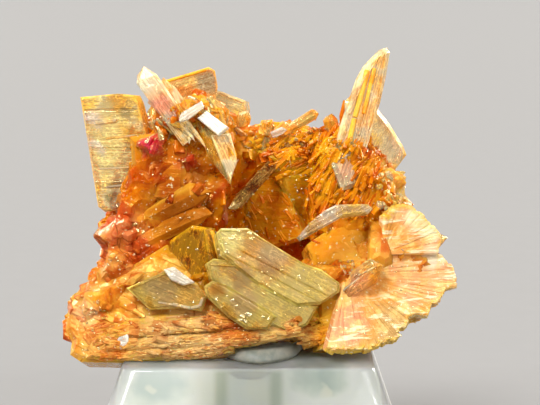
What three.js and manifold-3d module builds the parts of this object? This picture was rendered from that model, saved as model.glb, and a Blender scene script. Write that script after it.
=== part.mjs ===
// A vesuvianite specimen on its clear plastic stand, in millimetres, +Z up.
// The origin is the middle of the stand's underside. The specimen is one piece of intergrown crystals:
// a broken orange mass, tabular crystals and blades that grew out of it, and small crystals between them.
import * as THREE from "three";
import { ConvexGeometry } from "three/addons/geometries/ConvexGeometry.js";
import { mergeVertices } from "three/addons/utils/BufferGeometryUtils.js";
import Module from "manifold-3d";

const wasm = await Module();
wasm.setup();

// Stand: a solid clear block with four sloping sides and a short blind hole in its top.
const STAND_HEIGHT = 9;
const STAND_TOP_HALF = 6.7;
const STAND_BASE_HALF = 9.6;
const STAND_CORNER = 0.9;
const STAND_BEVEL = 0.3;
const HOLE_RADIUS = 1.5;
const HOLE_DEPTH = 2.6;
const HOLE_FLOOR = 0.5;

// Tack: the soft dab that holds the specimen on the stand.
const TACK_CENTRE = new THREE.Vector2(0.6, -2.6);
const TACK_RADII = new THREE.Vector2(2.3, 3.3);
const TACK_GAP = 0.05;
const TACK_HEIGHT = 1.6;

// Finishes.
const CRYSTAL_FINISH = { color: 0xd98a35, roughness: 0.25, metalness: 0, flatShading: true };
const TACK_FINISH = { color: 0xc9ccc4, roughness: 0.55, metalness: 0 };
const PLASTIC_FINISH = { color: 0xdfe6df, roughness: 0.12, metalness: 0, transparent: true, opacity: 0.5 };

// Underside of the specimen: a broken, nearly level face, a little higher on the right.
const UNDERSIDE_LIFT = 0.62;
const UNDERSIDE_SLOPE = THREE.MathUtils.degToRad(2.2);

// Front view: places are given as u to the right and v up, in the upright picture plane through the
// specimen's middle, as seen from an eye in front and a little above; depth runs away from the eye.
const EYE_DISTANCE = 75;
const EYE_ELEVATION = THREE.MathUtils.degToRad(8);
const VIEW_MIDDLE = new THREE.Vector2(1.5, 8.75);
const VIEW_TARGET = new THREE.Vector3(1.1, 0, STAND_HEIGHT + 7.7);

const SIGHT = new THREE.Vector3(0, Math.cos(EYE_ELEVATION), -Math.sin(EYE_ELEVATION));
const VIEW_UP = new THREE.Vector3(0, Math.sin(EYE_ELEVATION), Math.cos(EYE_ELEVATION));
const VIEW_RIGHT = new THREE.Vector3(1, 0, 0);
const EYE = VIEW_TARGET.clone().addScaledVector(SIGHT, -EYE_DISTANCE);

// A repeatable random number from 0 to 1.
function randomFrom(seed) {
  let state = seed;
  return () => {
    state = (state * 1664525 + 1013904223) % 4294967296;
    return state / 4294967296;
  };
}

// The direction of the sight line through the picture point u, v.
function sightLine(u, v) {
  return VIEW_TARGET.clone()
    .addScaledVector(VIEW_RIGHT, u - VIEW_MIDDLE.x)
    .addScaledVector(VIEW_UP, v - VIEW_MIDDLE.y)
    .sub(EYE);
}

// The point that is seen at u, v and lies at that depth.
function seen(u, v, depth) {
  const line = sightLine(u, v);
  return EYE.clone().addScaledVector(line, (depth - EYE.y) / line.y);
}

// A closed three.js geometry as a solid that can be joined and cut.
function solidOf(geometry) {
  const bare = new THREE.BufferGeometry();
  bare.setAttribute("position", geometry.getAttribute("position"));
  if (geometry.index) bare.setIndex(geometry.index);
  const merged = mergeVertices(bare, 1e-4);
  return new wasm.Manifold(
    new wasm.Mesh({
      numProp: 3,
      vertProperties: merged.attributes.position.array,
      triVerts: new Uint32Array(merged.index.array),
    }),
  );
}

// A solid back as a three.js geometry.
function geometryOf(solid) {
  const mesh = solid.getMesh();
  const geometry = new THREE.BufferGeometry();
  geometry.setAttribute("position", new THREE.BufferAttribute(new Float32Array(mesh.vertProperties), 3));
  geometry.setIndex(new THREE.BufferAttribute(new Uint32Array(mesh.triVerts), 1));
  geometry.computeVertexNormals();
  return geometry;
}

// A broken lump: the hull of its outline at the middle depth and of smaller rings in front and behind.
function lump({ outline, front, middle, back, seed, shrinkFront = 0.7, shrinkBack = 0.6, rough = 0.25 }) {
  const random = randomFrom(seed);
  const jitter = () => (random() - 0.5) * 2 * rough;
  const cu = outline.reduce((sum, [u]) => sum + u, 0) / outline.length;
  const cv = outline.reduce((sum, [, v]) => sum + v, 0) / outline.length;
  const points = outline.map(([u, v]) => seen(u, v, middle));
  for (const [depth, shrink] of [
    [front, shrinkFront],
    [back, shrinkBack],
  ]) {
    for (const [u, v] of outline) {
      const ringU = cu + (u - cu) * shrink + jitter();
      const ringV = cv + (v - cv) * shrink + jitter();
      points.push(seen(ringU, ringV, depth + jitter()));
    }
  }
  return solidOf(new ConvexGeometry(points));
}

// A tabular crystal: an outline seen from the front, on a plane turned about Z and leant back, with
// bevelled edges.
function tablet({ outline, depth, thickness, turn = 0, lean = 0, bevel = 0.15 }) {
  const normal = new THREE.Vector3(0, -1, 0)
    .applyAxisAngle(VIEW_RIGHT, THREE.MathUtils.degToRad(-lean))
    .applyAxisAngle(new THREE.Vector3(0, 0, 1), THREE.MathUtils.degToRad(turn));
  const across = new THREE.Vector3(0, 0, 1).cross(normal).normalize();
  const upward = normal.clone().cross(across);
  const cu = outline.reduce((sum, [u]) => sum + u, 0) / outline.length;
  const cv = outline.reduce((sum, [, v]) => sum + v, 0) / outline.length;
  const middle = seen(cu, cv, depth);
  const onPlane = outline.map(([u, v]) => {
    const line = sightLine(u, v);
    const reach = middle.clone().sub(EYE).dot(normal) / line.dot(normal);
    const offset = EYE.clone().addScaledVector(line, reach).sub(middle);
    return new THREE.Vector2(offset.dot(across), offset.dot(upward));
  });
  const geometry = new THREE.ExtrudeGeometry(new THREE.Shape(onPlane), {
    depth: thickness - 2 * bevel,
    bevelThickness: bevel,
    bevelSize: bevel,
    bevelOffset: -bevel,
    bevelSegments: 1,
    curveSegments: 1,
  });
  geometry.translate(0, 0, bevel - thickness);
  geometry.applyMatrix4(new THREE.Matrix4().makeBasis(across, upward, normal).setPosition(middle));
  return solidOf(geometry);
}

// How a blade ends and narrows, unless it says otherwise: the share of its length that is pointed, how
// wide the chisel edge is, how far that edge slants, and how much narrower the root is.
const BLADE_FORM = { roll: 0, point: 0.25, chisel: 0.5, slant: 0.3, taper: 0.9 };

// A blade or prism from its root to its tip, both given as [u, v, depth].
function blade({ root, tip, ...form }) {
  return bladeBetween(seen(...root), seen(...tip), { ...BLADE_FORM, ...form });
}

// A blade between two points. Its broad face looks forward, turned about its own length by roll.
function bladeBetween(start, end, { width, thickness, roll, point, chisel, slant, taper }) {
  const along = end.clone().sub(start);
  const length = along.length();
  along.normalize();
  const facing = new THREE.Vector3(0, -1, 0).projectOnPlane(along).normalize();
  facing.applyAxisAngle(along, THREE.MathUtils.degToRad(roll));
  const across = along.clone().cross(facing);
  const edge = 0.3 * Math.min(width, thickness);
  const section = [
    [0.5 * width, 0.5 * thickness - edge],
    [0.5 * width - edge, 0.5 * thickness],
    [edge - 0.5 * width, 0.5 * thickness],
    [-0.5 * width, 0.5 * thickness - edge],
    [-0.5 * width, edge - 0.5 * thickness],
    [edge - 0.5 * width, -0.5 * thickness],
    [0.5 * width - edge, -0.5 * thickness],
    [0.5 * width, edge - 0.5 * thickness],
  ];
  const place = (a, b, reach) =>
    start.clone().addScaledVector(across, a).addScaledVector(facing, b).addScaledVector(along, reach);
  const shoulder = length * (1 - point);
  const drop = length * point * slant;
  const points = [
    ...section.map(([a, b]) => place(a * taper, b * taper, 0)),
    ...section.map(([a, b]) => place(a, b, shoulder - (drop * a) / width)),
    place(0.5 * width * chisel, 0, length),
    place(-0.5 * width * chisel, 0, length - drop),
  ];
  return solidOf(new ConvexGeometry(points));
}

// The broken mass that the crystals grew on.
const LUMPS = {
  foot: {
    outline: [
      [-9.7, 0.2], [-9.9, 1.7], [-9.6, 3.0], [-9.0, 3.8], [-7.9, 4.5], [-5.7, 5.2], [-1.2, 5.2],
      [1.2, 4.0], [5.0, 4.6], [7.2, 5.6], [7.6, 3.4], [7.0, 0.6], [3.0, 0.3], [-0.7, 0.2],
      [-5.2, -0.4], [-9.0, -0.3],
    ],
    front: -4.9, middle: -2.4, back: 3.6, shrinkFront: 0.86, shrinkBack: 0.66, rough: 0.2, seed: 11,
  },
  rightFoot: {
    outline: [
      [3.4, 0.4], [3.2, 4.8], [5.4, 6.9], [7.9, 7.9], [9.3, 7.4], [10.6, 6.0], [11.3, 4.7],
      [10.6, 3.3], [9.2, 2.2], [8.4, 1.2], [6.9, 0.5],
    ],
    front: -4.3, middle: -0.6, back: 4.2, shrinkFront: 0.72, shrinkBack: 0.62, rough: 0.2, seed: 22,
  },
  leftColumn: {
    outline: [
      [-7.6, 5.6], [-7.9, 6.9], [-7.4, 8.0], [-6.5, 9.0], [-6.2, 12.3], [-5.2, 13.4], [-3.6, 14.1],
      [-1.6, 14.2], [-0.4, 13.2], [-0.4, 9.6], [-1.4, 6.0], [-4.0, 4.0],
    ],
    front: -2.1, middle: 0.6, back: 4.6, shrinkFront: 0.8, shrinkBack: 0.66, rough: 0.25, seed: 33,
  },
  backWall: {
    outline: [
      [-3.0, 4.0], [-3.2, 12.6], [0.0, 13.0], [1.4, 12.9], [3.4, 12.9], [5.4, 12.6], [6.4, 9.0],
      [5.0, 4.0],
    ],
    front: 0.8, middle: 2.6, back: 5.4, shrinkFront: 0.85, shrinkBack: 0.7, rough: 0.3, seed: 44,
  },
  rightColumn: {
    outline: [
      [3.4, 9.6], [4.0, 12.6], [5.6, 13.2], [6.6, 12.6], [7.3, 11.0], [8.5, 10.3], [8.7, 9.2],
      [9.3, 8.4], [7.6, 6.2], [4.8, 5.0], [3.4, 6.2],
    ],
    front: -1.4, middle: 1.0, back: 4.8, shrinkFront: 0.7, shrinkBack: 0.66, rough: 0.25, seed: 55,
  },
  waistUpper: {
    outline: [[-8.0, 6.4], [-8.0, 7.2], [-7.5, 7.8], [-6.3, 8.2], [-5.4, 7.2], [-6.0, 6.2], [-7.4, 6.0]],
    front: -2.2, middle: -1.0, back: 1.4, seed: 66,
  },
  waistLower: {
    outline: [[-7.8, 5.2], [-7.6, 6.0], [-6.6, 6.1], [-5.6, 5.4], [-6.2, 4.5], [-7.6, 4.5]],
    front: -3.2, middle: -2.0, back: 0.6, seed: 77,
  },
  waistFoot: {
    outline: [[-8.3, 4.5], [-8.1, 5.0], [-7.5, 5.0], [-7.2, 4.3], [-7.9, 4.0]],
    front: -2.8, middle: -1.8, back: 0.2, rough: 0.1, seed: 88,
  },
  redKnot: {
    outline: [[-5.9, 12.1], [-5.3, 12.6], [-4.6, 12.5], [-4.5, 11.8], [-5.1, 11.4]],
    front: -2.7, middle: -1.9, back: -0.6, rough: 0.08, seed: 99,
  },
  pinkKnot: {
    outline: [[-3.6, 11.2], [-2.9, 11.5], [-2.3, 11.1], [-2.6, 10.6], [-3.3, 10.6]],
    front: -2.9, middle: -2.2, back: -0.8, rough: 0.08, seed: 111,
  },
  shoulder: {
    outline: [[7.6, 9.0], [7.5, 10.4], [8.3, 10.7], [8.9, 10.3], [8.9, 9.5], [8.4, 8.8]],
    front: -0.6, middle: 0.6, back: 2.6, rough: 0.12, seed: 122,
  },
  crown: {
    outline: [[-5.0, 13.0], [-4.6, 14.2], [-2.6, 14.6], [-1.0, 13.8], [-0.6, 12.4], [-2.4, 11.9]],
    front: -2.4, middle: -1.2, back: 0.8, rough: 0.2, seed: 144,
  },
  rearSaddle: {
    outline: [[-4.0, 6.0], [-3.4, 12.0], [0.4, 12.4], [4.6, 11.8], [6.0, 6.4], [1.0, 4.4]],
    front: 3.0, middle: 4.6, back: 6.2, shrinkBack: 0.55, rough: 0.4, seed: 155,
  },
};

// The hollow between the two columns, seen from the front.
const HOLLOW = {
  outline: [
    [-0.9, 8.2], [-0.4, 10.2], [1.4, 11.6], [3.4, 11.3], [4.4, 9.6], [4.0, 7.6], [2.0, 5.9],
    [0.0, 6.0],
  ],
  front: -6, middle: -2.6, back: 1.3, shrinkFront: 1.1, shrinkBack: 0.6, rough: 0.15, seed: 133,
};

// Tabular crystals, by the outline that the front view shows.
const TABLETS = {
  leftPlate: {
    outline: [
      [-9.1, 14.6], [-7.0, 14.8], [-6.1, 14.7], [-5.9, 14.3], [-5.2, 11.6], [-5.4, 9.2], [-7.1, 8.3],
      [-7.7, 8.2], [-8.1, 8.5],
    ],
    depth: -0.9, thickness: 1.3, turn: -14, lean: 4, bevel: 0.3,
  },
  backBox: {
    outline: [[-4.9, 15.4], [-1.9, 16.3], [-1.55, 16.1], [-1.4, 15.2], [-1.8, 12.8], [-4.4, 12.6]],
    depth: 0.6, thickness: 1.9, turn: 6, lean: 12, bevel: 0.22,
  },
  backPrism: {
    outline: [[-1.7, 15.1], [0.15, 14.4], [0.2, 13.9], [0.0, 12.2], [-1.6, 12.4]],
    depth: 2.0, thickness: 1.2, turn: -10, lean: 8, bevel: 0.2,
  },
  tallBlade: {
    outline: [
      [8.1, 17.4], [7.75, 17.3], [6.9, 16.4], [6.5, 15.7], [5.7, 13.4], [5.0, 10.9], [5.6, 9.4],
      [6.6, 9.7], [6.9, 11.4], [7.3, 13.1], [7.7, 14.3], [8.05, 15.9], [8.25, 17.1],
    ],
    depth: -0.9, thickness: 0.9, turn: 16, lean: 9, bevel: 0.25,
  },
  rearWedge: {
    outline: [[7.4, 14.2], [8.2, 13.2], [9.0, 11.9], [9.2, 11.4], [8.6, 10.6], [7.2, 9.9], [6.4, 12.4]],
    depth: 1.4, thickness: 1.8, turn: 18, lean: 6, bevel: 0.3,
  },
  upperLobe: {
    outline: [
      [7.4, 6.0], [7.8, 7.6], [8.4, 8.5], [9.3, 8.65], [10.2, 8.0], [10.9, 7.3], [11.1, 6.7],
      [11.0, 6.1], [9.6, 5.2],
    ],
    depth: -1.5, thickness: 1.9, turn: 26, lean: 16, bevel: 0.3,
  },
  fan: {
    outline: [
      [7.4, 5.6], [9.4, 6.3], [11.0, 5.9], [11.6, 5.4], [11.95, 5.0], [12.0, 4.2], [11.35, 4.0],
      [11.2, 3.3], [10.6, 3.15], [10.5, 2.5], [9.9, 2.6], [9.45, 2.4], [9.35, 1.9], [8.85, 1.65],
      [8.75, 1.15], [8.0, 0.95], [7.5, 0.7], [7.0, 0.6], [4.6, 0.7], [4.6, 3.6],
    ],
    depth: -3.0, thickness: 2.2, turn: 24, lean: 22, bevel: 0.28,
  },
  fanBack: {
    outline: [
      [8.0, 5.2], [10.6, 5.6], [11.5, 4.9], [11.6, 4.0], [11.0, 3.7], [10.9, 3.0], [10.2, 2.8],
      [10.0, 2.2], [9.2, 2.0], [8.4, 2.2],
    ],
    depth: -0.6, thickness: 1.8, turn: 34, lean: 16, bevel: 0.25,
  },
  leftSlab: {
    outline: [
      [-8.2, 4.1], [-4.3, 6.5], [-3.6, 6.1], [-2.1, 4.2], [-0.2, 2.4], [-0.6, 0.5], [-2.4, 0.2],
      [-5.2, 0.0], [-6.8, -0.1], [-9.1, -0.05], [-9.7, 0.35], [-9.6, 1.1], [-9.95, 1.7], [-9.8, 3.0],
      [-9.2, 3.8],
    ],
    depth: -4.5, thickness: 2.4, turn: -8, lean: 24, bevel: 0.35,
  },
  windowTablet: {
    outline: [
      [-6.5, 4.0], [-4.4, 4.95], [-3.95, 5.0], [-2.55, 4.2], [-2.05, 3.45], [-2.3, 2.7], [-3.5, 2.9],
      [-5.2, 2.8],
    ],
    depth: -5.0, thickness: 1.0, turn: -4, lean: 16, bevel: 0.25,
  },
  oliveTablet: {
    outline: [[-2.9, 7.5], [-4.2, 6.6], [-4.3, 4.6], [-2.0, 3.6], [-1.9, 6.1], [-2.1, 7.35]],
    depth: -3.6, thickness: 1.6, turn: -20, lean: 10, bevel: 0.2,
  },
  narrowTablet: {
    outline: [[-2.15, 7.3], [-1.65, 7.35], [-0.8, 4.4], [-1.6, 3.8]],
    depth: -3.9, thickness: 1.4, turn: 20, lean: 12, bevel: 0.12,
  },
  paleUpper: {
    outline: [
      [-1.45, 7.1], [-1.2, 7.35], [0.3, 7.35], [1.1, 6.8], [3.4, 5.4], [4.4, 5.05], [5.4, 4.3],
      [5.4, 3.8], [4.3, 3.1], [3.0, 3.0], [0.8, 4.2], [-0.6, 5.3], [-1.2, 5.8],
    ],
    depth: -4.7, thickness: 1.3, turn: 12, lean: 20, bevel: 0.3,
  },
  paleMiddle: {
    outline: [
      [-2.0, 5.4], [-1.6, 5.65], [-0.2, 5.45], [1.2, 4.5], [3.2, 3.3], [4.2, 3.0], [3.6, 1.95],
      [2.6, 1.5], [0.9, 2.1], [-1.2, 3.8], [-1.75, 4.5],
    ],
    depth: -5.2, thickness: 1.3, turn: 10, lean: 16, bevel: 0.3,
  },
  paleLower: {
    outline: [
      [-2.15, 4.1], [-1.7, 4.4], [-0.95, 4.2], [1.05, 3.0], [1.9, 2.4], [1.4, 1.7], [0.2, 1.7],
      [-0.85, 2.4], [-2.0, 3.5],
    ],
    depth: -5.7, thickness: 1.2, turn: 6, lean: 12, bevel: 0.28,
  },
  stepPrism: {
    outline: [[5.45, 3.9], [6.05, 5.0], [7.05, 5.7], [7.75, 5.3], [7.4, 4.4], [5.8, 3.45]],
    depth: -4.2, thickness: 1.4, turn: -8, lean: 18, bevel: 0.28,
  },
  orangeBlock: {
    outline: [[-6.4, 12.4], [-4.4, 12.7], [-3.0, 11.9], [-3.2, 9.4], [-4.2, 8.6], [-6.1, 8.9]],
    depth: -2.2, thickness: 2.0, turn: -12, lean: 6, bevel: 0.35,
  },
  orangeLedge: {
    outline: [[-3.4, 11.6], [-1.6, 12.2], [-0.6, 10.2], [-0.9, 8.6], [-2.4, 8.4], [-3.6, 9.6]],
    depth: -2.0, thickness: 1.8, turn: 18, lean: 12, bevel: 0.3,
  },
  hollowLeft: {
    outline: [[0.1, 9.4], [1.4, 11.2], [2.5, 9.1], [3.4, 6.7], [1.05, 6.0], [-0.15, 7.1]],
    depth: 0.3, thickness: 2.0, turn: -22, lean: 4, bevel: 0.25,
  },
  hollowRight: {
    outline: [[1.5, 11.3], [3.2, 11.8], [4.8, 10.2], [4.6, 8.0], [3.4, 6.6], [2.4, 9.2]],
    depth: 0.3, thickness: 2.2, turn: 28, lean: -6, bevel: 0.3,
  },
  rightFace: {
    outline: [[3.6, 6.5], [4.9, 7.4], [7.0, 8.5], [7.9, 7.4], [7.6, 5.6], [6.0, 4.4], [4.0, 5.0]],
    depth: -2.0, thickness: 2.2, turn: 10, lean: 26, bevel: 0.3,
  },
  rearTabletLeft: {
    outline: [[-6.0, 8.4], [-5.6, 12.2], [-3.0, 13.2], [-2.0, 10.4], [-3.8, 7.6]],
    depth: 5.3, thickness: 1.8, turn: 196, lean: -8, bevel: 0.3,
  },
  rearTabletMiddle: {
    outline: [[-1.8, 6.4], [-1.6, 10.6], [1.2, 12.4], [2.8, 9.6], [1.4, 5.8]],
    depth: 5.9, thickness: 1.6, turn: 176, lean: -12, bevel: 0.3,
  },
  rearTabletRight: {
    outline: [[3.4, 6.0], [3.2, 10.2], [5.4, 12.6], [7.4, 10.0], [6.4, 5.8]],
    depth: 5.5, thickness: 1.8, turn: 158, lean: -6, bevel: 0.3,
  },
  rearFootLeft: {
    outline: [[-8.8, 1.8], [-8.6, 4.2], [-5.4, 5.8], [-3.2, 3.6], [-4.2, 1.4]],
    depth: 4.2, thickness: 1.8, turn: 204, lean: -18, bevel: 0.3,
  },
  rearFootMiddle: {
    outline: [[-3.0, 1.6], [-2.4, 4.8], [1.6, 5.8], [3.2, 3.4], [1.6, 1.4]],
    depth: 4.7, thickness: 2.0, turn: 182, lean: -20, bevel: 0.3,
  },
  rearFootRight: {
    outline: [[3.6, 1.8], [4.4, 5.4], [8.0, 6.6], [10.0, 4.6], [8.4, 1.8]],
    depth: 4.6, thickness: 1.8, turn: 156, lean: -14, bevel: 0.3,
  },
};

// Blades and prisms that stand free of the mass.
const BLADES = {
  crossBlade: {
    root: [-2.6, 12.4, -0.8], tip: [-5.7, 16.15, -1.9],
    width: 1.0, thickness: 0.45, roll: 14, point: 0.16,
  },
  crossBladeBack: {
    root: [-2.4, 12.6, -0.2], tip: [-4.6, 15.6, -0.8], width: 0.8, thickness: 0.4, roll: -10, point: 0.2,
  },
  feather: {
    root: [-4.6, 14.6, -1.2], tip: [-3.4, 12.4, -2.6], width: 0.8, thickness: 0.4, roll: 30, point: 0.3,
  },
  dagger: {
    root: [-1.7, 13.9, -1.6], tip: [-0.65, 9.75, -3.0],
    width: 1.5, thickness: 0.9, roll: 24, point: 0.4, chisel: 0.05,
  },
  daggerHead: {
    root: [-0.9, 12.6, -2.3], tip: [-2.5, 13.9, -2.1],
    width: 0.75, thickness: 0.5, roll: -30, point: 0.1,
  },
  brightChip: {
    root: [-3.7, 13.2, -2.4], tip: [-2.1, 14.35, -2.1],
    width: 0.7, thickness: 0.45, roll: -24, point: 0.12,
  },
  brownBlade: {
    root: [2.6, 11.9, 0.6], tip: [-0.7, 8.3, -3.0], width: 0.66, thickness: 0.5, roll: 18, point: 0.14,
  },
  greyBladeRoot: {
    root: [5.2, 8.45, -2.9], tip: [3.0, 6.5, -4.4], width: 0.75, thickness: 0.5, roll: -24, point: 0.12,
  },
  greyBladeHead: {
    root: [4.6, 8.15, -3.0], tip: [7.3, 8.6, -2.7], width: 0.7, thickness: 0.5, roll: -20, point: 0.12,
  },
  salmonBladeUpper: {
    root: [-5.8, 7.6, -1.4], tip: [-1.9, 9.6, -3.0], width: 1.3, thickness: 1.1, roll: 20, point: 0.2,
  },
  salmonBladeLower: {
    root: [-5.6, 6.6, -1.8], tip: [-1.8, 8.4, -2.8], width: 1.1, thickness: 1.0, roll: -16, point: 0.2,
  },
  ridgeBlade: {
    root: [2.1, 12.5, 0.6], tip: [4.15, 13.8, 0.2], width: 0.55, thickness: 0.6, roll: -18, point: 0.1,
  },
  ridgeKnobLeft: {
    root: [-0.3, 12.0, 1.6], tip: [0.15, 13.85, 1.4], width: 0.8, thickness: 0.7, point: 0.15,
  },
  ridgeKnobMiddle: {
    root: [1.2, 11.4, 1.0], tip: [1.45, 13.4, 0.8], width: 0.75, thickness: 0.7, point: 0.15,
  },
  ridgeChip: {
    root: [1.6, 12.3, 0.6], tip: [2.45, 13.2, 0.5], width: 0.5, thickness: 0.4, roll: 20, point: 0.1,
  },
  ridgePebble: {
    root: [5.1, 12.4, 0.9], tip: [4.75, 13.65, 0.7], width: 0.8, thickness: 0.7, point: 0.25,
  },
  tallBladeStep: {
    root: [6.0, 12.6, -0.4], tip: [5.95, 14.7, -0.6], width: 0.6, thickness: 0.6, roll: 30, point: 0.2,
  },
  footLathRight: {
    root: [3.2, 1.2, -4.6], tip: [8.6, 2.6, -3.4], width: 1.3, thickness: 0.9, roll: -30, point: 0.2,
  },
  footLathLong: {
    root: [-7.4, 0.8, -5.2], tip: [1.8, 1.35, -5.6], width: 0.8, thickness: 0.7, roll: -24, point: 0.14,
  },
  footLathLow: {
    root: [-5.6, 0.35, -5.4], tip: [1.4, 1.1, -5.3], width: 0.5, thickness: 0.7, roll: -16, point: 0.14,
  },
  footLathHigh: {
    root: [-6.8, 1.5, -5.0], tip: [-0.4, 2.2, -5.5], width: 0.8, thickness: 0.6, roll: -30, point: 0.16,
  },
  rearBladeLeft: {
    root: [-3.6, 9.0, 4.6], tip: [-5.2, 14.2, 4.8], width: 1.1, thickness: 0.6, roll: 40, point: 0.2,
  },
  rearBladeMiddle: {
    root: [0.6, 8.6, 5.0], tip: [2.6, 13.2, 6.6], width: 1.3, thickness: 0.7, roll: -30, point: 0.25,
  },
  rearBladeCross: {
    root: [3.4, 7.6, 5.0], tip: [-0.8, 9.2, 7.2], width: 1.0, thickness: 0.6, roll: 20, point: 0.25,
  },
  rearBladeLow: {
    root: [-1.4, 4.0, 4.4], tip: [-4.8, 6.6, 6.6], width: 1.2, thickness: 0.8, roll: -24, point: 0.25,
  },
  rearBladeRight: {
    root: [6.0, 7.0, 4.2], tip: [8.4, 9.6, 5.8], width: 1.2, thickness: 0.7, roll: 30, point: 0.25,
  },
  sideBladeLeft: {
    root: [-6.2, 5.4, 2.0], tip: [-7.4, 7.2, 4.4], width: 1.1, thickness: 0.7, roll: 30, point: 0.25,
  },
  sideBladeRight: {
    root: [8.6, 5.6, 2.0], tip: [11.2, 7.0, 3.6], width: 1.2, thickness: 0.8, roll: -40, point: 0.25,
  },
};

// Small crystals all over the mass, each seated on a random place of its surface and leaning out of it.
const CRUST = {
  count: 84, length: [0.9, 1.9], width: [0.45, 1.0], flatness: [0.4, 0.9], roll: [-80, 80], buried: 0.6,
  lean: 1.5, seed: 7,
};

// A random place on a mesh, each triangle as likely as it is large: the point and the way out of the face.
function placesOn(solid, count, random) {
  const geometry = geometryOf(solid).toNonIndexed();
  const position = geometry.getAttribute("position");
  const triangles = [];
  let total = 0;
  for (let i = 0; i < position.count; i += 3) {
    const corners = [0, 1, 2].map((k) => new THREE.Vector3().fromBufferAttribute(position, i + k));
    const triangle = new THREE.Triangle(...corners);
    total += triangle.getArea();
    triangles.push({ triangle, upTo: total });
  }
  return Array.from({ length: count }, () => {
    const mark = random() * total;
    const { triangle } = triangles.find(({ upTo }) => upTo >= mark);
    const [s, t] = [Math.sqrt(random()), random()];
    const point = triangle.a.clone().multiplyScalar(1 - s);
    point.addScaledVector(triangle.b, s * (1 - t)).addScaledVector(triangle.c, s * t);
    return { point, outward: triangle.getNormal(new THREE.Vector3()) };
  });
}

// The crust crystals, with most of each one's length inside the mass.
function crustOn(mass) {
  const random = randomFrom(CRUST.seed);
  const between = ([a, b]) => a + (b - a) * random();
  return placesOn(mass, CRUST.count, random).map(({ point, outward }) => {
    const lean = new THREE.Vector3(random() - 0.5, random() - 0.5, random() - 0.5);
    const along = outward.addScaledVector(lean, CRUST.lean).normalize();
    const length = between(CRUST.length);
    const width = between(CRUST.width);
    const start = point.clone().addScaledVector(along, -CRUST.buried * length);
    const end = start.clone().addScaledVector(along, length);
    const thickness = width * between(CRUST.flatness);
    return bladeBetween(start, end, { ...BLADE_FORM, width, thickness, roll: between(CRUST.roll) });
  });
}

// A big block whose top face is the specimen's underside.
function belowUnderside(lift) {
  const size = 60;
  const block = new THREE.BoxGeometry(size, size, size);
  block.translate(0, 0, -0.5 * size);
  block.rotateY(-UNDERSIDE_SLOPE);
  block.translate(0, 0, STAND_HEIGHT + lift);
  return solidOf(block);
}

// The largest piece of a solid, with any sealed hollow in it filled.
function largestPiece(solid) {
  return solid.decompose().reduce((best, piece) => (piece.volume() > best.volume() ? piece : best));
}

function makeSpecimen() {
  const lumps = Object.values(LUMPS).map(lump).reduce((all, next) => all.add(next));
  const mass = lumps.subtract(lump(HOLLOW)).subtract(belowUnderside(UNDERSIDE_LIFT));
  const crystals = [
    ...Object.values(TABLETS).map(tablet),
    ...Object.values(BLADES).map(blade),
    ...crustOn(mass),
  ];
  const grown = crystals.reduce((all, next) => all.add(next), mass);
  return largestPiece(grown.subtract(belowUnderside(UNDERSIDE_LIFT)));
}

// A level ring of the stand's outline, a square with rounded corners.
function standRing(half, corner, z) {
  const points = [];
  const steps = 4;
  for (const [sx, sy, start] of [[1, 1, 0], [-1, 1, 90], [-1, -1, 180], [1, -1, 270]]) {
    for (let i = 0; i <= steps; i += 1) {
      const angle = THREE.MathUtils.degToRad(start + (90 * i) / steps);
      points.push(
        new THREE.Vector3(
          sx * (half - corner) + corner * Math.cos(angle),
          sy * (half - corner) + corner * Math.sin(angle),
          z,
        ),
      );
    }
  }
  return points;
}

function makeStand() {
  const block = solidOf(
    new ConvexGeometry([
      ...standRing(STAND_BASE_HALF - STAND_BEVEL, STAND_CORNER, 0),
      ...standRing(STAND_BASE_HALF, STAND_CORNER, STAND_BEVEL),
      ...standRing(STAND_TOP_HALF, STAND_CORNER, STAND_HEIGHT - STAND_BEVEL),
      ...standRing(STAND_TOP_HALF - STAND_BEVEL, STAND_CORNER, STAND_HEIGHT),
    ]),
  );
  const profile = [
    [0, -HOLE_DEPTH],
    [HOLE_RADIUS - HOLE_FLOOR, -HOLE_DEPTH],
    [HOLE_RADIUS, HOLE_FLOOR - HOLE_DEPTH],
    [HOLE_RADIUS, 1],
    [0, 1],
  ];
  const hole = new THREE.LatheGeometry(profile.map(([r, z]) => new THREE.Vector2(r, z)), 24);
  hole.rotateX(Math.PI / 2);
  hole.translate(0, 0, STAND_HEIGHT);
  return block.subtract(solidOf(hole));
}

function makeTack() {
  const profile = [
    [0, 0],
    [0.86, 0],
    [1, 0.16],
    [0.97, 0.4],
    [0.85, 0.7],
    [0.6, 1],
    [0, 1],
  ];
  const dab = new THREE.LatheGeometry(profile.map(([r, z]) => new THREE.Vector2(r, z)), 24);
  dab.rotateX(Math.PI / 2);
  dab.scale(TACK_RADII.x, TACK_RADII.y, TACK_HEIGHT);
  dab.translate(TACK_CENTRE.x, TACK_CENTRE.y, STAND_HEIGHT + TACK_GAP);
  return solidOf(dab).intersect(belowUnderside(UNDERSIDE_LIFT - TACK_GAP));
}

function named(name, solid, material) {
  const mesh = new THREE.Mesh(geometryOf(solid), new THREE.MeshStandardMaterial(material));
  mesh.name = name;
  return mesh;
}

const model = new THREE.Group();
model.add(named("vesuvianite_cluster", makeSpecimen(), CRYSTAL_FINISH));
model.add(named("mineral_tack", makeTack(), TACK_FINISH));
model.add(named("display_stand", makeStand(), PLASTIC_FINISH));

export default model;
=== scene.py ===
"""Studio model of a vesuvianite specimen on its clear stand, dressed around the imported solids.

Crystals are worked out in millimetres, mostly from the outlines that the front view shows, and their
meshes are written in metres. Sub-assemblies: the broken mass, the groups of tablets, blades and ridge
lines, the serrated fans, the small crystals of the crust, the tack, the stand and the studio.
"""

import logging
import math
import random
from dataclasses import dataclass
from enum import Enum
from functools import cache
from typing import Any, Callable, Iterable, Sequence

import bmesh
import bpy
import numpy as np
from mathutils import Matrix, Vector
from mathutils.bvhtree import BVHTree
from mathutils.geometry import intersect_point_line
from mathutils.kdtree import KDTree


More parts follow.
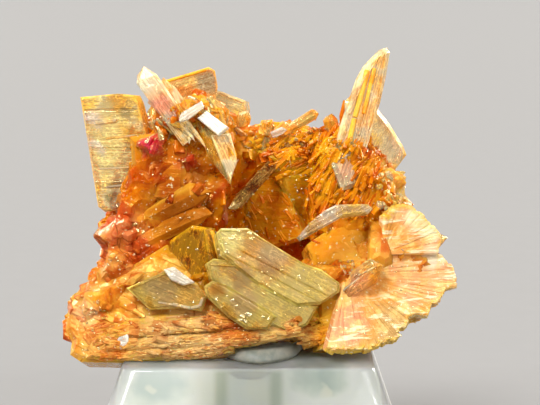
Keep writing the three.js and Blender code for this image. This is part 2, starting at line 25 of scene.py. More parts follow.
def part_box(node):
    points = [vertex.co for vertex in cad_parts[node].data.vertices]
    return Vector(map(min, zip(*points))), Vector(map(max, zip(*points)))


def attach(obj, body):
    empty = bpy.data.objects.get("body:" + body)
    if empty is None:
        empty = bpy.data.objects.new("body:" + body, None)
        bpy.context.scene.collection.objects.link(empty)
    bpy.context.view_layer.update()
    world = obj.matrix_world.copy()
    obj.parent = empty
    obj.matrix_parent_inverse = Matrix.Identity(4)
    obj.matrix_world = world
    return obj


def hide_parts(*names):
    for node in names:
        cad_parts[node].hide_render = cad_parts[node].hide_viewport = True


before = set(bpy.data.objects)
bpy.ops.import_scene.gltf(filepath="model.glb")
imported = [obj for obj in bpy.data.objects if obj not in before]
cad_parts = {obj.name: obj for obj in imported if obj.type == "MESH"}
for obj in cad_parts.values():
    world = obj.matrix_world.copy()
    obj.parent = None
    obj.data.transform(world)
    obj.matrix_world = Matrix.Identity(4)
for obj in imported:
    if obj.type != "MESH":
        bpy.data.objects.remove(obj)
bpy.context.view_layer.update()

Point2 = tuple[float, float]
Point3 = tuple[float, float, float]
Colour = tuple[int, int, int]
Face = Sequence[int]

LOG = logging.getLogger("specimen")
MM = 0.001
PER_METRE = 1000.0
BODY = "root"
CLUSTER = "vesuvianite_cluster"
TACK = "mineral_tack"
STAND = "display_stand"
STAND_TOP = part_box(STAND)[1][2] * PER_METRE
UNDERSIDE_LIFT = 0.62
UNDERSIDE_SLOPE = math.radians(2.2)
FORWARD = Vector((0, -1, 0))
LONG = 30.0  # more than any crystal's length
WIDE = 13.0  # more than half of any tablet's width
SKIN = 0.01  # how far the growth steps' crests stand clear of the crystal's own face


def linear(colour: Colour) -> tuple[float, ...]:
    """Turns a screen colour into the renderer's linear one, by the usual screen curve.

    Args:
        colour: Red, green and blue from 0 to 255.

    Returns:
        The linear values and a full alpha.
    """
    shares = [value / 255 for value in colour]
    return (*(x / 12.92 if x <= 0.04045 else ((x + 0.055) / 1.055) ** 2.4 for x in shares), 1.0)


def placed(name: str, data: bpy.types.ID) -> bpy.types.Object:
    """Puts a mesh, a light or a camera into the scene.

    Args:
        name: The object's name.
        data: What it holds.

    Returns:
        The object.
    """
    thing = bpy.data.objects.new(name, data)
    bpy.context.scene.collection.objects.link(thing)
    return thing


# Shader arithmetic


class Wire:
    """A value in a node tree, with arithmetic that adds Math nodes."""

    def __init__(self, surface: "Surface", socket: bpy.types.NodeSocket) -> None:
        """Keeps the surface that the value belongs to and its output socket."""
        self.surface = surface
        self.socket = socket

    def _math(self, operation: str, *values: Any) -> "Wire":
        """Adds one Math node with these values in order."""
        return self.surface.node("ShaderNodeMath", {"operation": operation}, dict(enumerate(values)))

    def __add__(self, other: Any) -> "Wire":
        """Sum."""
        return self._math("ADD", self, other)

    __radd__ = __add__

    def __sub__(self, other: Any) -> "Wire":
        """Difference."""
        return self._math("SUBTRACT", self, other)

    def __rsub__(self, other: Any) -> "Wire":
        """Difference the other way round."""
        return self._math("SUBTRACT", other, self)

    def __mul__(self, other: Any) -> "Wire":
        """Product."""
        return self._math("MULTIPLY", self, other)

    __rmul__ = __mul__

    def clamped(self) -> "Wire":
        """The value held between 0 and 1."""
        return self.surface.node("ShaderNodeClamp", {}, {"Value": self})


class Surface:
    """A node material that is being made."""

    def __init__(self, name: str) -> None:
        """Starts an empty node tree under that name."""
        self.material = bpy.data.materials.new(name)
        self.material.use_nodes = True
        self.tree = self.material.node_tree
        self.tree.nodes.clear()

    def node(
        self, kind: str, settings: dict[str, Any] | None = None, inputs: dict[int | str, Any] | None = None,
        output: int | str = 0,
    ) -> Wire:
        """Adds a node.

        Args:
            kind: The node's type.
            settings: Its settings, set first.
            inputs: The values or wires of its sockets, by name or place.
            output: The output socket that is wanted.

        Returns:
            The wire from that output.
        """
        made = self.tree.nodes.new(kind)
        for key, value in (settings or {}).items():
            setattr(made, key, value)
        for key, value in (inputs or {}).items():
            if isinstance(value, Wire):
                self.tree.links.new(value.socket, made.inputs[key])
            else:
                made.inputs[key].default_value = value
        return Wire(self, made.outputs[output])

    def place(self) -> Wire:
        """The point on the piece, in metres."""
        return self.node("ShaderNodeTexCoord", output="Object")

    def attribute(self, name: str, output: str = "Fac") -> Wire:
        """A value that the mesh carries at its points."""
        return self.node("ShaderNodeAttribute", {"attribute_name": name}, output=output)

    def vectors(self, operation: str, first: Any, second: Any, output: int | str = 0) -> Wire:
        """Adds a Vector Math node on two vectors."""
        return self.node("ShaderNodeVectorMath", {"operation": operation}, {0: first, 1: second}, output)

    def away(self, place: Wire, weights: Point3) -> Wire:
        """How far a place is from the origin, with each axis counted by its weight."""
        return self.vectors("LENGTH", self.vectors("MULTIPLY", place, weights), (0, 0, 0), "Value")

    def mix(self, factor: Any, first: Wire | Colour, second: Wire | Colour, blend: str = "MIX") -> Wire:
        """Mixes two colours, wires or screen colours, where the factor is the share of the second."""
        ends = [end if isinstance(end, Wire) else linear(end) for end in (first, second)]
        inputs = {0: factor, 6: ends[0], 7: ends[1]}
        return self.node("ShaderNodeMix", {"data_type": "RGBA", "blend_type": blend}, inputs, 2)

    def noise(self, at: Wire, scale: float, detail: float = 3.0, rough: float = 0.55) -> Wire:
        """Soft noise from 0 to 1, with about that many blotches in a unit of the point."""
        inputs = {"Vector": at, "Scale": scale, "Detail": detail, "Roughness": rough}
        return self.node("ShaderNodeTexNoise", {}, inputs)

    def cells(self, at: Wire, scale: float, feature: str = "F1", output: int | str = 0) -> Wire:
        """Voronoi cells of that many in a unit of the point."""
        return self.node("ShaderNodeTexVoronoi", {"feature": feature}, {"Vector": at, "Scale": scale}, output)

    def ramp(self, value: Wire, low: float, high: float, start: float = 0.0, end: float = 1.0) -> Wire:
        """Eases from start, where the value is low, to end, where it is high, and holds it beyond."""
        inputs = {"Value": value, "From Min": low, "From Max": high, "To Min": start, "To Max": end}
        return self.node("ShaderNodeMapRange", {"interpolation_type": "SMOOTHSTEP"}, inputs)

    def facets(self, at: Wire, scale: float, tilt: float) -> Wire:
        """A normal that leans at random in each of many small cells.

        Args:
            at: The point that the cells are read at.
            scale: Cells in a unit of that point.
            tilt: How far each cell's normal leans.

        Returns:
            The normal.
        """
        lean = self.vectors("SUBTRACT", self.cells(at, scale, output="Color"), (0.5, 0.5, 0.5))
        plain = self.node("ShaderNodeNewGeometry", output="Normal")
        leant = self.vectors("ADD", plain, self.vectors("MULTIPLY", lean, (tilt,) * 3))
        return self.vectors("NORMALIZE", leant, (0.0, 0.0, 0.0))

    def warped(self, place: Wire) -> Wire:
        """A place shifted at random by up to a millimetre, for zones with uneven edges."""
        scale, furthest = 700.0, 1.6 * MM
        warp = self.node("ShaderNodeTexNoise", {}, {"Vector": place, "Scale": scale}, "Color")
        shift = self.vectors("SUBTRACT", warp, (0.5, 0.5, 0.5))
        return self.vectors("ADD", place, self.vectors("MULTIPLY", shift, (furthest,) * 3))

    def zoned(
        self, colour: Wire | Colour, at: Wire, zones: Sequence["Zone"], depth_counts: float = 1.0
    ) -> Wire | Colour:
        """A colour with other colours mixed in around the zones' places.

        Args:
            colour: The colour elsewhere.
            at: The place looked up, in metres.
            zones: The zones.
            depth_counts: How much a step along Y counts against one along X or Z.

        Returns:
            The mixed colour.
        """
        flat = self.vectors("MULTIPLY", at, (1.0, depth_counts, 1.0))
        for zone in zones:
            centre = VIEW.seen(*zone.at) * MM
            away = self.vectors("DISTANCE", flat, (centre.x, centre.y * depth_counts, centre.z), "Value")
            mask = self.ramp(away, zone.reach * MM, 0.4 * zone.reach * MM, 0.0, zone.strength)
            colour = self.mix(mask, colour, zone.colour)
        return colour

    def bump(self, height: Wire, distance: float, strength: float, normal: Wire) -> Wire:
        """A normal tilted further by a height, which is worth that many metres."""
        inputs = {"Height": height, "Distance": distance, "Strength": strength, "Normal": normal}
        return self.node("ShaderNodeBump", {}, inputs)

    def principled(self, inputs: dict[int | str, Any]) -> Wire:
        """Adds a Principled shader with these sockets."""
        return self.node("ShaderNodeBsdfPrincipled", {}, inputs)

    def finish(
        self, shader: Wire, depth_tint: Colour | None = None, density: float = 0.0
    ) -> bpy.types.Material:
        """Ends the tree in its output.

        Args:
            shader: The surface shader.
            depth_tint: The colour that light takes on inside, if the piece is clear.
            density: How fast it does.

        Returns:
            The material.
        """
        wires = {"Surface": shader}
        if depth_tint is not None:
            inside = {"Color": linear(depth_tint), "Density": density}
            wires["Volume"] = self.node("ShaderNodeVolumeAbsorption", {}, inside)
        made = self.tree.nodes.new("ShaderNodeOutputMaterial")
        for key, wire in wires.items():
            self.tree.links.new(wire.socket, made.inputs[key])
        return self.material


# Forms


class Chance:
    """Repeatable random numbers from 0 to 1, the same as the solids were made with."""

    def __init__(self, seed: int) -> None:
        """Starts the row of numbers from a seed."""
        self.state = seed

    def __call__(self) -> float:
        """The next number."""
        self.state = (self.state * 1664525 + 1013904223) % 4294967296
        return self.state / 4294967296


@dataclass(frozen=True)
class FrontView:
    """The picture plane that outlines are given in: u to the right, v up, depth away from the eye."""

    distance: float = 75.0
    elevation: float = 8.0
    middle: Point2 = (1.5, 8.75)
    target: Point3 = (1.1, 0.0, STAND_TOP + 7.7)
    width: float = 30.0

    @property
    def sight(self) -> Vector:
        """The way the eye looks."""
        angle = math.radians(self.elevation)
        return Vector((0, math.cos(angle), -math.sin(angle)))

    @property
    def up(self) -> Vector:
        """Up in the picture."""
        angle = math.radians(self.elevation)
        return Vector((0, math.sin(angle), math.cos(angle)))

    @property
    def eye(self) -> Vector:
        """The eye's place."""
        return Vector(self.target) - self.sight * self.distance

    def line(self, u: float, v: float) -> Vector:
        """From the eye to the picture point u, v."""
        offset = Vector((u - self.middle[0], 0, 0)) + self.up * (v - self.middle[1])
        return Vector(self.target) + offset - self.eye

    def seen(self, u: float, v: float, depth: float) -> Vector:
        """The point that is seen at u, v and lies at that depth."""
        line = self.line(u, v)
        return self.eye + line * ((depth - self.eye.y) / line.y)


VIEW = FrontView()


class Form:
    """Closed shapes gathered for one mesh, in millimetres, with grain, tone and rim at each point."""

    def __init__(self) -> None:
        """Starts with nothing."""
        self.points: list[Vector] = []
        self.faces: list[Face] = []
        self.grain: list[Point3] = []
        self.tone: list[float] = []
        self.rim: list[float] = []

    def add(
        self, points: Sequence[Vector], faces: Iterable[Face], axes: "Axes", tone: float,
        rim: Callable[[Point3], float] | None = None,
    ) -> None:
        """Adds one closed shape.

        Args:
            points: Its points.
            faces: Its faces, by point.
            axes: The crystal's own axes, which its grain follows.
            tone: How light it is, from 0 to 1.
            rim: Tells how much a place in those axes belongs to the thin rim, from 0 to 1.
        """
        start = len(self.points)
        self.points.extend(points)
        self.faces.extend([start + index for index in face] for face in faces)
        self.grain.extend(axes.local(point) for point in points)
        self.tone.extend([tone] * len(points))
        self.rim.extend(rim(axes.local(point)) if rim else 0.0 for point in points)

    def mesh(self, name: str) -> bpy.types.Mesh:
        """The mesh of all shapes, in metres."""
        mesh = bpy.data.meshes.new(name)
        mesh.from_pydata([point * MM for point in self.points], [], self.faces)
        dress_points(mesh, np.array(self.grain), np.array(self.tone), np.array(self.rim))
        mesh.update()
        return mesh


@dataclass(frozen=True)
class Axes:
    """A crystal's own axes: its middle, along its grain, across it, and out of its broad face."""

    middle: Vector
    along: Vector
    across: Vector
    facing: Vector

    def local(self, point: Vector) -> Point3:
        """A point in these axes."""
        offset = point - self.middle
        return (offset.dot(self.along), offset.dot(self.across), offset.dot(self.facing))

    def world(self, along: float, across: float, facing: float) -> Vector:
        """A point of these axes in the frame."""
        return self.middle + self.along * along + self.across * across + self.facing * facing


def dress_points(mesh: bpy.types.Mesh, grain: np.ndarray, tone: np.ndarray, rim: np.ndarray) -> None:
    """Stores the grain place, the tone and the rim share on a mesh's points.

    Args:
        mesh: The mesh.
        grain: Rows of along, across, facing.
        tone: One value for each point.
        rim: One value for each point.
    """
    layer = mesh.attributes.new("grain", "FLOAT_VECTOR", "POINT")
    layer.data.foreach_set("vector", np.asarray(grain, dtype=np.float32).ravel())
    for name, values in (("tone", tone), ("rim", rim)):
        layer = mesh.attributes.new(name, "FLOAT", "POINT")
        layer.data.foreach_set("value", np.asarray(values, dtype=np.float32))


def hull(points: Sequence[Vector]) -> tuple[list[Vector], list[Face]]:
    """The convex hull of points.

    Args:
        points: The points.

    Returns:
        The hull's points and faces.
    """
    work = bmesh.new()
    for point in points:
        work.verts.new(point)
    result = bmesh.ops.convex_hull(work, input=work.verts)
    unused = {*result["geom_interior"], *result["geom_unused"]}
    inner = [item for item in unused if isinstance(item, bmesh.types.BMVert)]
    bmesh.ops.delete(work, geom=inner, context="VERTS")
    bmesh.ops.recalc_face_normals(work, faces=work.faces)
    work.verts.index_update()
    corners = [vert.co.copy() for vert in work.verts]
    faces = [[vert.index for vert in face.verts] for face in work.faces]
    work.free()
    return corners, faces


def ring_faces(rings: int, sides: int) -> list[Face]:
    """The faces of a tube through rings of points, with both ends closed.

    Args:
        rings: How many rings there are, one after another.
        sides: How many points each has.

    Returns:
        The faces, with the two ends last.
    """
    faces: list[Face] = [
        [low + i, low + (i + 1) % sides, low + sides + (i + 1) % sides, low + sides + i]
        for low in range(0, (rings - 1) * sides, sides)
        for i in range(sides)
    ]
    last = (rings - 1) * sides
    return [*faces, list(range(sides)), list(range(last, last + sides))]


def middle_of(outline: Sequence[Point2]) -> Point2:
    """The middle of an outline's corners."""
    return sum(u for u, _ in outline) / len(outline), sum(v for _, v in outline) / len(outline)


def plain_mesh(points: Sequence[Vector], faces: Sequence[Face]) -> bpy.types.Mesh:
    """A working mesh in millimetres, with its faces turned out.

    Args:
        points: Its points.
        faces: Its faces.

    Returns:
        The mesh.
    """
    mesh = bpy.data.meshes.new("work")
    mesh.from_pydata(points, [], faces)
    work = bmesh.new()
    work.from_mesh(mesh)
    bmesh.ops.recalc_face_normals(work, faces=work.faces)
    bmesh.ops.triangulate(work, faces=[face for face in work.faces if len(face.verts) > 4])
    work.to_mesh(mesh)
    work.free()
    return mesh


def applied(mesh: bpy.types.Mesh, change: Callable[[bpy.types.Object], None]) -> bpy.types.Mesh:
    """Applies modifiers to a working mesh.

    Args:
        mesh: The mesh.
        change: Adds the modifiers to an object that holds the mesh.

    Returns:
        The changed mesh.
    """
    holder = placed("work", mesh)
    change(holder)
    graph = bpy.context.evaluated_depsgraph_get()
    graph.update()
    result = bpy.data.meshes.new_from_object(holder.evaluated_get(graph))
    bpy.data.objects.remove(holder)
    return result


def combined(base: bpy.types.Mesh, tools: Sequence[bpy.types.Mesh], operation: str) -> bpy.types.Mesh:
    """Joins or cuts closed working meshes.

    Args:
        base: The first mesh.
        tools: The meshes that join or cut it, one after another.
        operation: UNION, DIFFERENCE or INTERSECT.

    Returns:
        The new mesh, or the base where the cut leaves nothing.
    """
    holders = [placed("tool", tool) for tool in tools]

    def change(target: bpy.types.Object) -> None:
        """Adds one boolean for each tool."""
        for holder in holders:
            modifier = target.modifiers.new("cut", "BOOLEAN")
            modifier.operation = operation
            modifier.solver = "MANIFOLD"
            modifier.object = holder

    result = applied(base, change)
    for holder in holders:
        bpy.data.objects.remove(holder)
    if not result.polygons:
        LOG.warning("a %s left nothing", operation.lower())
        return base
    return result


def underside_block() -> bpy.types.Mesh:
    """A block whose top face is the specimen's nearly level underside."""
    size = 60.0
    corners = [Vector((x, y, z)) for x in (-0.5, 0.5) for y in (-0.5, 0.5) for z in (-1, 0)]
    turn = Matrix.Rotation(-UNDERSIDE_SLOPE, 4, "Y")
    lift = Vector((0, 0, STAND_TOP + UNDERSIDE_LIFT))
    points, faces = hull([turn @ (corner * size) + lift for corner in corners])
    return plain_mesh(points, faces)


def ribbed_bar(
    axes: Axes, half: float, top: float, bottom: float, pitch: float, relief: float, seed: int
) -> bpy.types.Mesh:
    """A long bar with growth steps along its length, which gives a crystal its striated faces.

    Args:
        axes: The crystal's axes. The steps run along its grain.
        half: Half its width across.
        top: How far it reaches on the facing side.
        bottom: How far it reaches behind, as a negative number.
        pitch: The steps' average width.
        relief: The steps' greatest depth.
        seed: The seed of their widths and depths.

    Returns:
        The bar as a working mesh.
    """
    chance = random.Random(seed)
    rows: list[tuple[float, float, float]] = []
    across = -half
    while across < half:
        depth = relief * chance.random() ** 1.6
        rows.append((across, top - depth, bottom + relief * chance.random() ** 1.6))
        across += pitch * (0.4 + 1.2 * chance.random())
    riser = 0.12 * pitch
    front: list[Point2] = []
    back: list[Point2] = []
    for index, (start, high, low) in enumerate(rows):
        end = rows[index + 1][0] - riser if index + 1 < len(rows) else half
        front += [(start, high), (max(end, start + 0.2 * riser), high)]
        back += [(start, low), (max(end, start + 0.2 * riser), low)]
    section = front + back[::-1]
    points = [axes.world(side * LONG, a, f) for side in (-1, 1) for a, f in section]
    return plain_mesh(points, ring_faces(2, len(section)))


def inset(outline: Sequence[Point2], amount: float) -> list[Point2]:
    """An outline drawn in by an amount, as a bevel does.

    Args:
        outline: The corners, in order.
        amount: How far each side moves in.

    Returns:
        The new corners.
    """
    area = sum(a[0] * b[1] - b[0] * a[1] for a, b in zip(outline, [*outline[1:], outline[0]]))
    turn = 1.0 if area > 0 else -1.0
    result = []
    for index, corner in enumerate(outline):
        before = Vector(corner) - Vector(outline[index - 1])
        after = Vector(outline[(index + 1) % len(outline)]) - Vector(corner)
        first = Vector((-before.y, before.x)).normalized() * turn
        second = Vector((-after.y, after.x)).normalized() * turn
        mitre = (first + second) / max(0.5, 1 + first.dot(second))
        moved = Vector(corner) + mitre * amount
        result.append((moved.x, moved.y))
    return result


# Finishes

FACE_DEPTH = 0.35  # how much a step in depth counts for zones on flat crystals, against one up or across


@dataclass(frozen=True)
class Zone:
    """A part of the specimen with a colour of its own, around a place that the front view shows."""

    colour: Colour
    at: Point3
    reach: float
    strength: float = 1.0


@dataclass(frozen=True)
class ZonedCrystal:
    """The finish of the massive crystal: amber with honey, pink, olive and tan zones, lit through."""

    name: str = "massive_vesuvianite"
    glow: float = 0.6
    zones: tuple[Zone, ...] = (
        Zone((248, 172, 30), (-3, 13.2, -2), 3.4, 0.8), Zone((250, 176, 14), (4.6, 11.2, 0.6), 3.8, 0.95),
        Zone((252, 190, 40), (1, 12.6, 1.6), 2.2, 0.8), Zone((226, 130, 0), (1.4, 8.2, 0.8), 3.2, 0.95),
        Zone((236, 156, 20), (1, 8.9, 0.6), 1.1, 0.9), Zone((200, 88, 0), (-3.8, 10.4, -2.2), 3, 0.95),
        Zone((168, 56, 2), (-3.4, 8.2, -2.6), 2.6, 0.9), Zone((236, 136, 84), (-6.8, 6.9, -1.8), 2.4, 0.9),
        Zone((250, 166, 130), (-7.6, 7, -1.4), 1.3, 0.8), Zone((236, 128, 24), (-6.8, 5.6, -2.8), 1.5, 0.7),
        Zone((216, 44, 80), (-5.25, 12.05, -2.5), 0.95, 1), Zone((216, 84, 50), (-3, 11.1, -2.8), 0.9, 0.9),
        Zone((246, 170, 140), (-0.55, 7.9, -0.6), 1, 0.95), Zone((240, 146, 6), (5.2, 7, -2.4), 2.4, 0.95),
        Zone((212, 170, 44), (2.2, 3.6, -4.6), 3.8, 0.95), Zone((190, 118, 0), (-3, 5.8, -3.8), 2.1, 0.95),
        Zone((228, 172, 88), (-7, 2.4, -4.6), 4.6, 0.9), Zone((240, 150, 20), (-7.4, 3.1, -4.8), 1.9, 0.8),
        Zone((250, 190, 130), (-9, 2.7, -4.2), 1.3, 0.8), Zone((228, 184, 90), (-4.6, 4.2, -4.6), 2, 0.8),
        Zone((224, 186, 122), (-3, 0.6, -5), 3.4, 0.9), Zone((214, 176, 108), (1.6, 0.9, -5), 3, 0.9),
        Zone((220, 160, 140), (-0.6, 0.4, -5), 0.9, 0.7), Zone((255, 186, 76), (8.2, 3.6, -3.2), 4.4, 0.95),
        Zone((252, 184, 130), (6.8, 1.8, -3.8), 2.2, 0.8), Zone((255, 212, 110), (9.8, 7.2, -1.8), 2, 0.8),
        Zone((255, 232, 120), (8.3, 9.7, 0.4), 1.8, 0.9), Zone((246, 186, 80), (0, 8, 7), 6, 0.6),
        Zone((236, 172, 80), (1, 2, 6), 5, 0.7),
    )
    ground: Colour = (236, 138, 0)
    pale: Colour = (255, 196, 50)
    glint: Colour = (255, 240, 180)
    # painted glow: the rim colour stands in for light that shines through thin edges
    rim: Colour = (255, 196, 60)
    crack: Colour = (110, 44, 0)
    inner_light: Colour = (255, 196, 110)
    rich: Colour = (226, 150, 90)
    dark: Colour = (214, 140, 84)
    depth_tint: Colour = (255, 188, 70)
    density: float = 240.0
    index: float = 1.7

    def material(self) -> bpy.types.Material:
        """Builds the node material."""
        coat = Surface(self.name)
        place = coat.place()
        grain = coat.attribute("grain", "Vector")
        tone = coat.attribute("tone")
        warped = coat.warped(place)
        colour = coat.zoned(self.ground, warped, self.zones)
        cloud = coat.noise(place, 700.0, 5.0, 0.62)
        rich = coat.mix(1.0, colour, self.rich, "MULTIPLY")
        colour = coat.mix(coat.ramp(cloud, 0.54, 0.38, 0.0, 0.9), colour, rich)
        colour = coat.mix(coat.ramp(cloud, 0.54, 0.72, 0.0, 0.3), colour, self.pale)
        colour = coat.mix(coat.ramp(tone, 0.6, 1.0, 0.0, 0.22), colour, self.pale)
        dark = coat.mix(1.0, colour, self.dark, "MULTIPLY")
        colour = coat.mix(coat.ramp(tone, 0.5, 0.0, 0.0, 0.7), colour, dark)
        # Painted glow: the tablets' outer rims turn bright yellow, standing in for light that shines through
        # thin edges.
        rim = coat.ramp(coat.attribute("rim"), 0.3, 1.0, 0.0, 0.5)
        colour = coat.mix(rim, colour, self.rim)
        edge = coat.cells(warped, 560.0, "DISTANCE_TO_EDGE")
        vein = coat.ramp(edge, 0.045, 0.0) * coat.ramp(coat.noise(place, 430.0), 0.52, 0.6)
        colour = coat.mix(vein * 0.7, colour, self.crack)
        lines = coat.noise(coat.vectors("MULTIPLY", grain, (0.3, 6.0, 3.0)), 2.2, 5.0, 0.65)
        colour = coat.mix(coat.ramp(lines, 0.56, 0.74, 0.0, 0.25), colour, self.pale)
        # Painted glints: small creamy-white specks mixed into the colour stand in for highlights on tiny
        # facets.
        specks = coat.ramp(coat.noise(place, 5200.0, 2.0, 0.5), 0.64, 0.74, 0.0, 0.9)
        colour = coat.mix(specks, colour, self.glint)
        height = lines * 0.6 + coat.noise(place, 4200.0, 3.0, 0.6) * 0.4
        normal = coat.bump(height, 0.00005, 0.8, coat.facets(warped, 3600.0, 0.34))
        rough = coat.ramp(coat.noise(place, 1500.0), 0.35, 0.7, 0.04, 0.2)
        shader = coat.principled({
            "Base Color": colour, "Roughness": rough, "IOR": self.index, "Normal": normal,
            "Specular IOR Level": 0.3, "Specular Tint": linear(self.inner_light),
            "Subsurface Weight": self.glow, "Subsurface Radius": (1.0, 0.5, 0.12), "Subsurface Scale": 0.8 * MM,
            "Transmission Weight": 0.4,
        })
        return coat.finish(shader, self.depth_tint, self.density)


@dataclass(frozen=True)
class ClearCrystal:
    """The finish of a clear crystal: a tint that deepens with its thickness, pale streaks along its grain."""

    name: str
    tint: Colour
    depth_tint: Colour
    density: float
    streak: Colour = (255, 246, 222)
    streaks: float = 0.35
    bloom: Colour = (250, 214, 140)
    blooms: float = 0.3
    # partly painted shade: grey-olive patches standing in for a dark background seen through the crystal
    window: Colour = (176, 160, 104)
    windows: float = 0.0
    clarity: float = 0.95
    specks: float = 0.4
    veins: float = 0.35
    milk: float = 0.1
    # partly painted shade: darker streaks standing in for refraction lines at ledges and a dark background seen
    # through
    shade: Colour = (196, 140, 50)
    shades: float = 0.3
    inner_light: Colour = (255, 232, 180)
    # painted glow: on the pale finishes the rim colour stands in for light shining through thin edges
    rim: Colour = (255, 226, 130)
    rims: float = 0.8
    zones: tuple[Zone, ...] = ()
    stain: float = 0.85
    index: float = 1.62

    def material(self) -> bpy.types.Material:
        """Builds the node material."""
        coat = Surface(self.name)
        place = coat.place()
        grain = coat.attribute("grain", "Vector")
        tone = coat.attribute("tone")
        lines = coat.noise(coat.vectors("MULTIPLY", grain, (0.25, 7.0, 3.0)), 1.7, 5.0, 0.65)
        flaws = coat.noise(coat.vectors("MULTIPLY", grain, (0.9, 2.4, 1.6)), 1.6, 5.0, 0.6) - 0.5
        cloud = coat.noise(place, 800.0, 5.0, 0.66)
        pools = coat.noise(place, 300.0, 2.0, 0.5)
        blooms = coat.ramp(cloud, 0.45, 0.6, 0.0, self.blooms)
        colour = coat.mix(blooms, self.tint, self.bloom)
        # Window patches: partly painted shade, a grey-olive that stands in for a dark background seen through
        # the clear crystal; on the blush and white finishes a paler tint of their own.
        colour = coat.mix(coat.ramp(pools, 0.46, 0.56, 0.0, self.windows), colour, self.window)
        colour = coat.mix(coat.ramp(tone, 0.0, 1.0, 0.0, 0.25), colour, self.streak)
        warped = coat.warped(place) if self.zones else place
        colour = coat.zoned(colour, warped, self.zones, FACE_DEPTH)
        # Darker streaks along the grain: partly painted shade, standing in for the dark lines that refraction
        # draws at ledges and a dark background seen through the crystal; partly the crystal's own bands, as the
        # orange ones of the blush finish.
        colour = coat.mix(coat.ramp(lines, 0.48, 0.32, 0.0, self.shades), colour, self.shade)
        # Painted glints: small pale specks raise the frost's share and stand in for highlights on tiny facets.
        specks = coat.ramp(coat.noise(place, 4600.0, 2.0, 0.5), 0.62, 0.72)
        veins = coat.ramp(flaws * flaws, 0.0007, 0.0) * coat.ramp(cloud, 0.42, 0.54)
        # Painted glow: a colour painted along the thin edges, in both the glass and the frost, stands in for
        # light shining through them; on the brown finish the rim colour is a dark brown.
        rim = coat.ramp(coat.attribute("rim") + cloud * 1.6, 1.2, 1.8, 0.0, self.rims)
        rim = rim * coat.ramp(coat.noise(place, 480.0, 3.0, 0.6), 0.42, 0.6, 0.15, 1.0)
        colour = coat.mix(rim, colour, self.rim)
        normal = coat.bump(lines * 0.6 + flaws * 0.6, 0.00003, 0.7, coat.facets(place, 2200.0, 0.08))
        rough = coat.ramp(coat.noise(place, 1300.0), 0.35, 0.7, 0.0, 0.08)
        glass = coat.principled({
            "Base Color": colour, "Roughness": rough, "IOR": self.index, "Normal": normal,
            "Transmission Weight": self.clarity, "Specular IOR Level": 0.4,
            "Specular Tint": linear(self.inner_light),
        })
        pale = coat.mix(coat.ramp(cloud, 0.42, 0.6), self.streak, self.bloom)
        pale = coat.mix(self.stain, pale, coat.zoned(pale, warped, self.zones, FACE_DEPTH))
        pale = coat.mix(rim, pale, self.rim)
        frost = coat.principled({
            "Base Color": pale, "Roughness": 0.22, "IOR": 1.6, "Normal": normal, "Specular IOR Level": 0.3,
            "Specular Tint": linear(self.inner_light), "Subsurface Weight": 0.5,
            "Subsurface Radius": (1.0, 0.8, 0.6), "Subsurface Scale": 0.3 * MM,
        })
        streaky = coat.ramp(lines, 0.42, 0.66) * coat.ramp(cloud, 0.38, 0.54, 0.15, 1.0) * self.streaks
        share = (streaky + specks * self.specks + veins * self.veins + rim * 0.5 + self.milk).clamped()
        shader = coat.node("ShaderNodeMixShader", {}, {0: share, 1: glass, 2: frost})
        return coat.finish(shader, self.depth_tint, self.density)


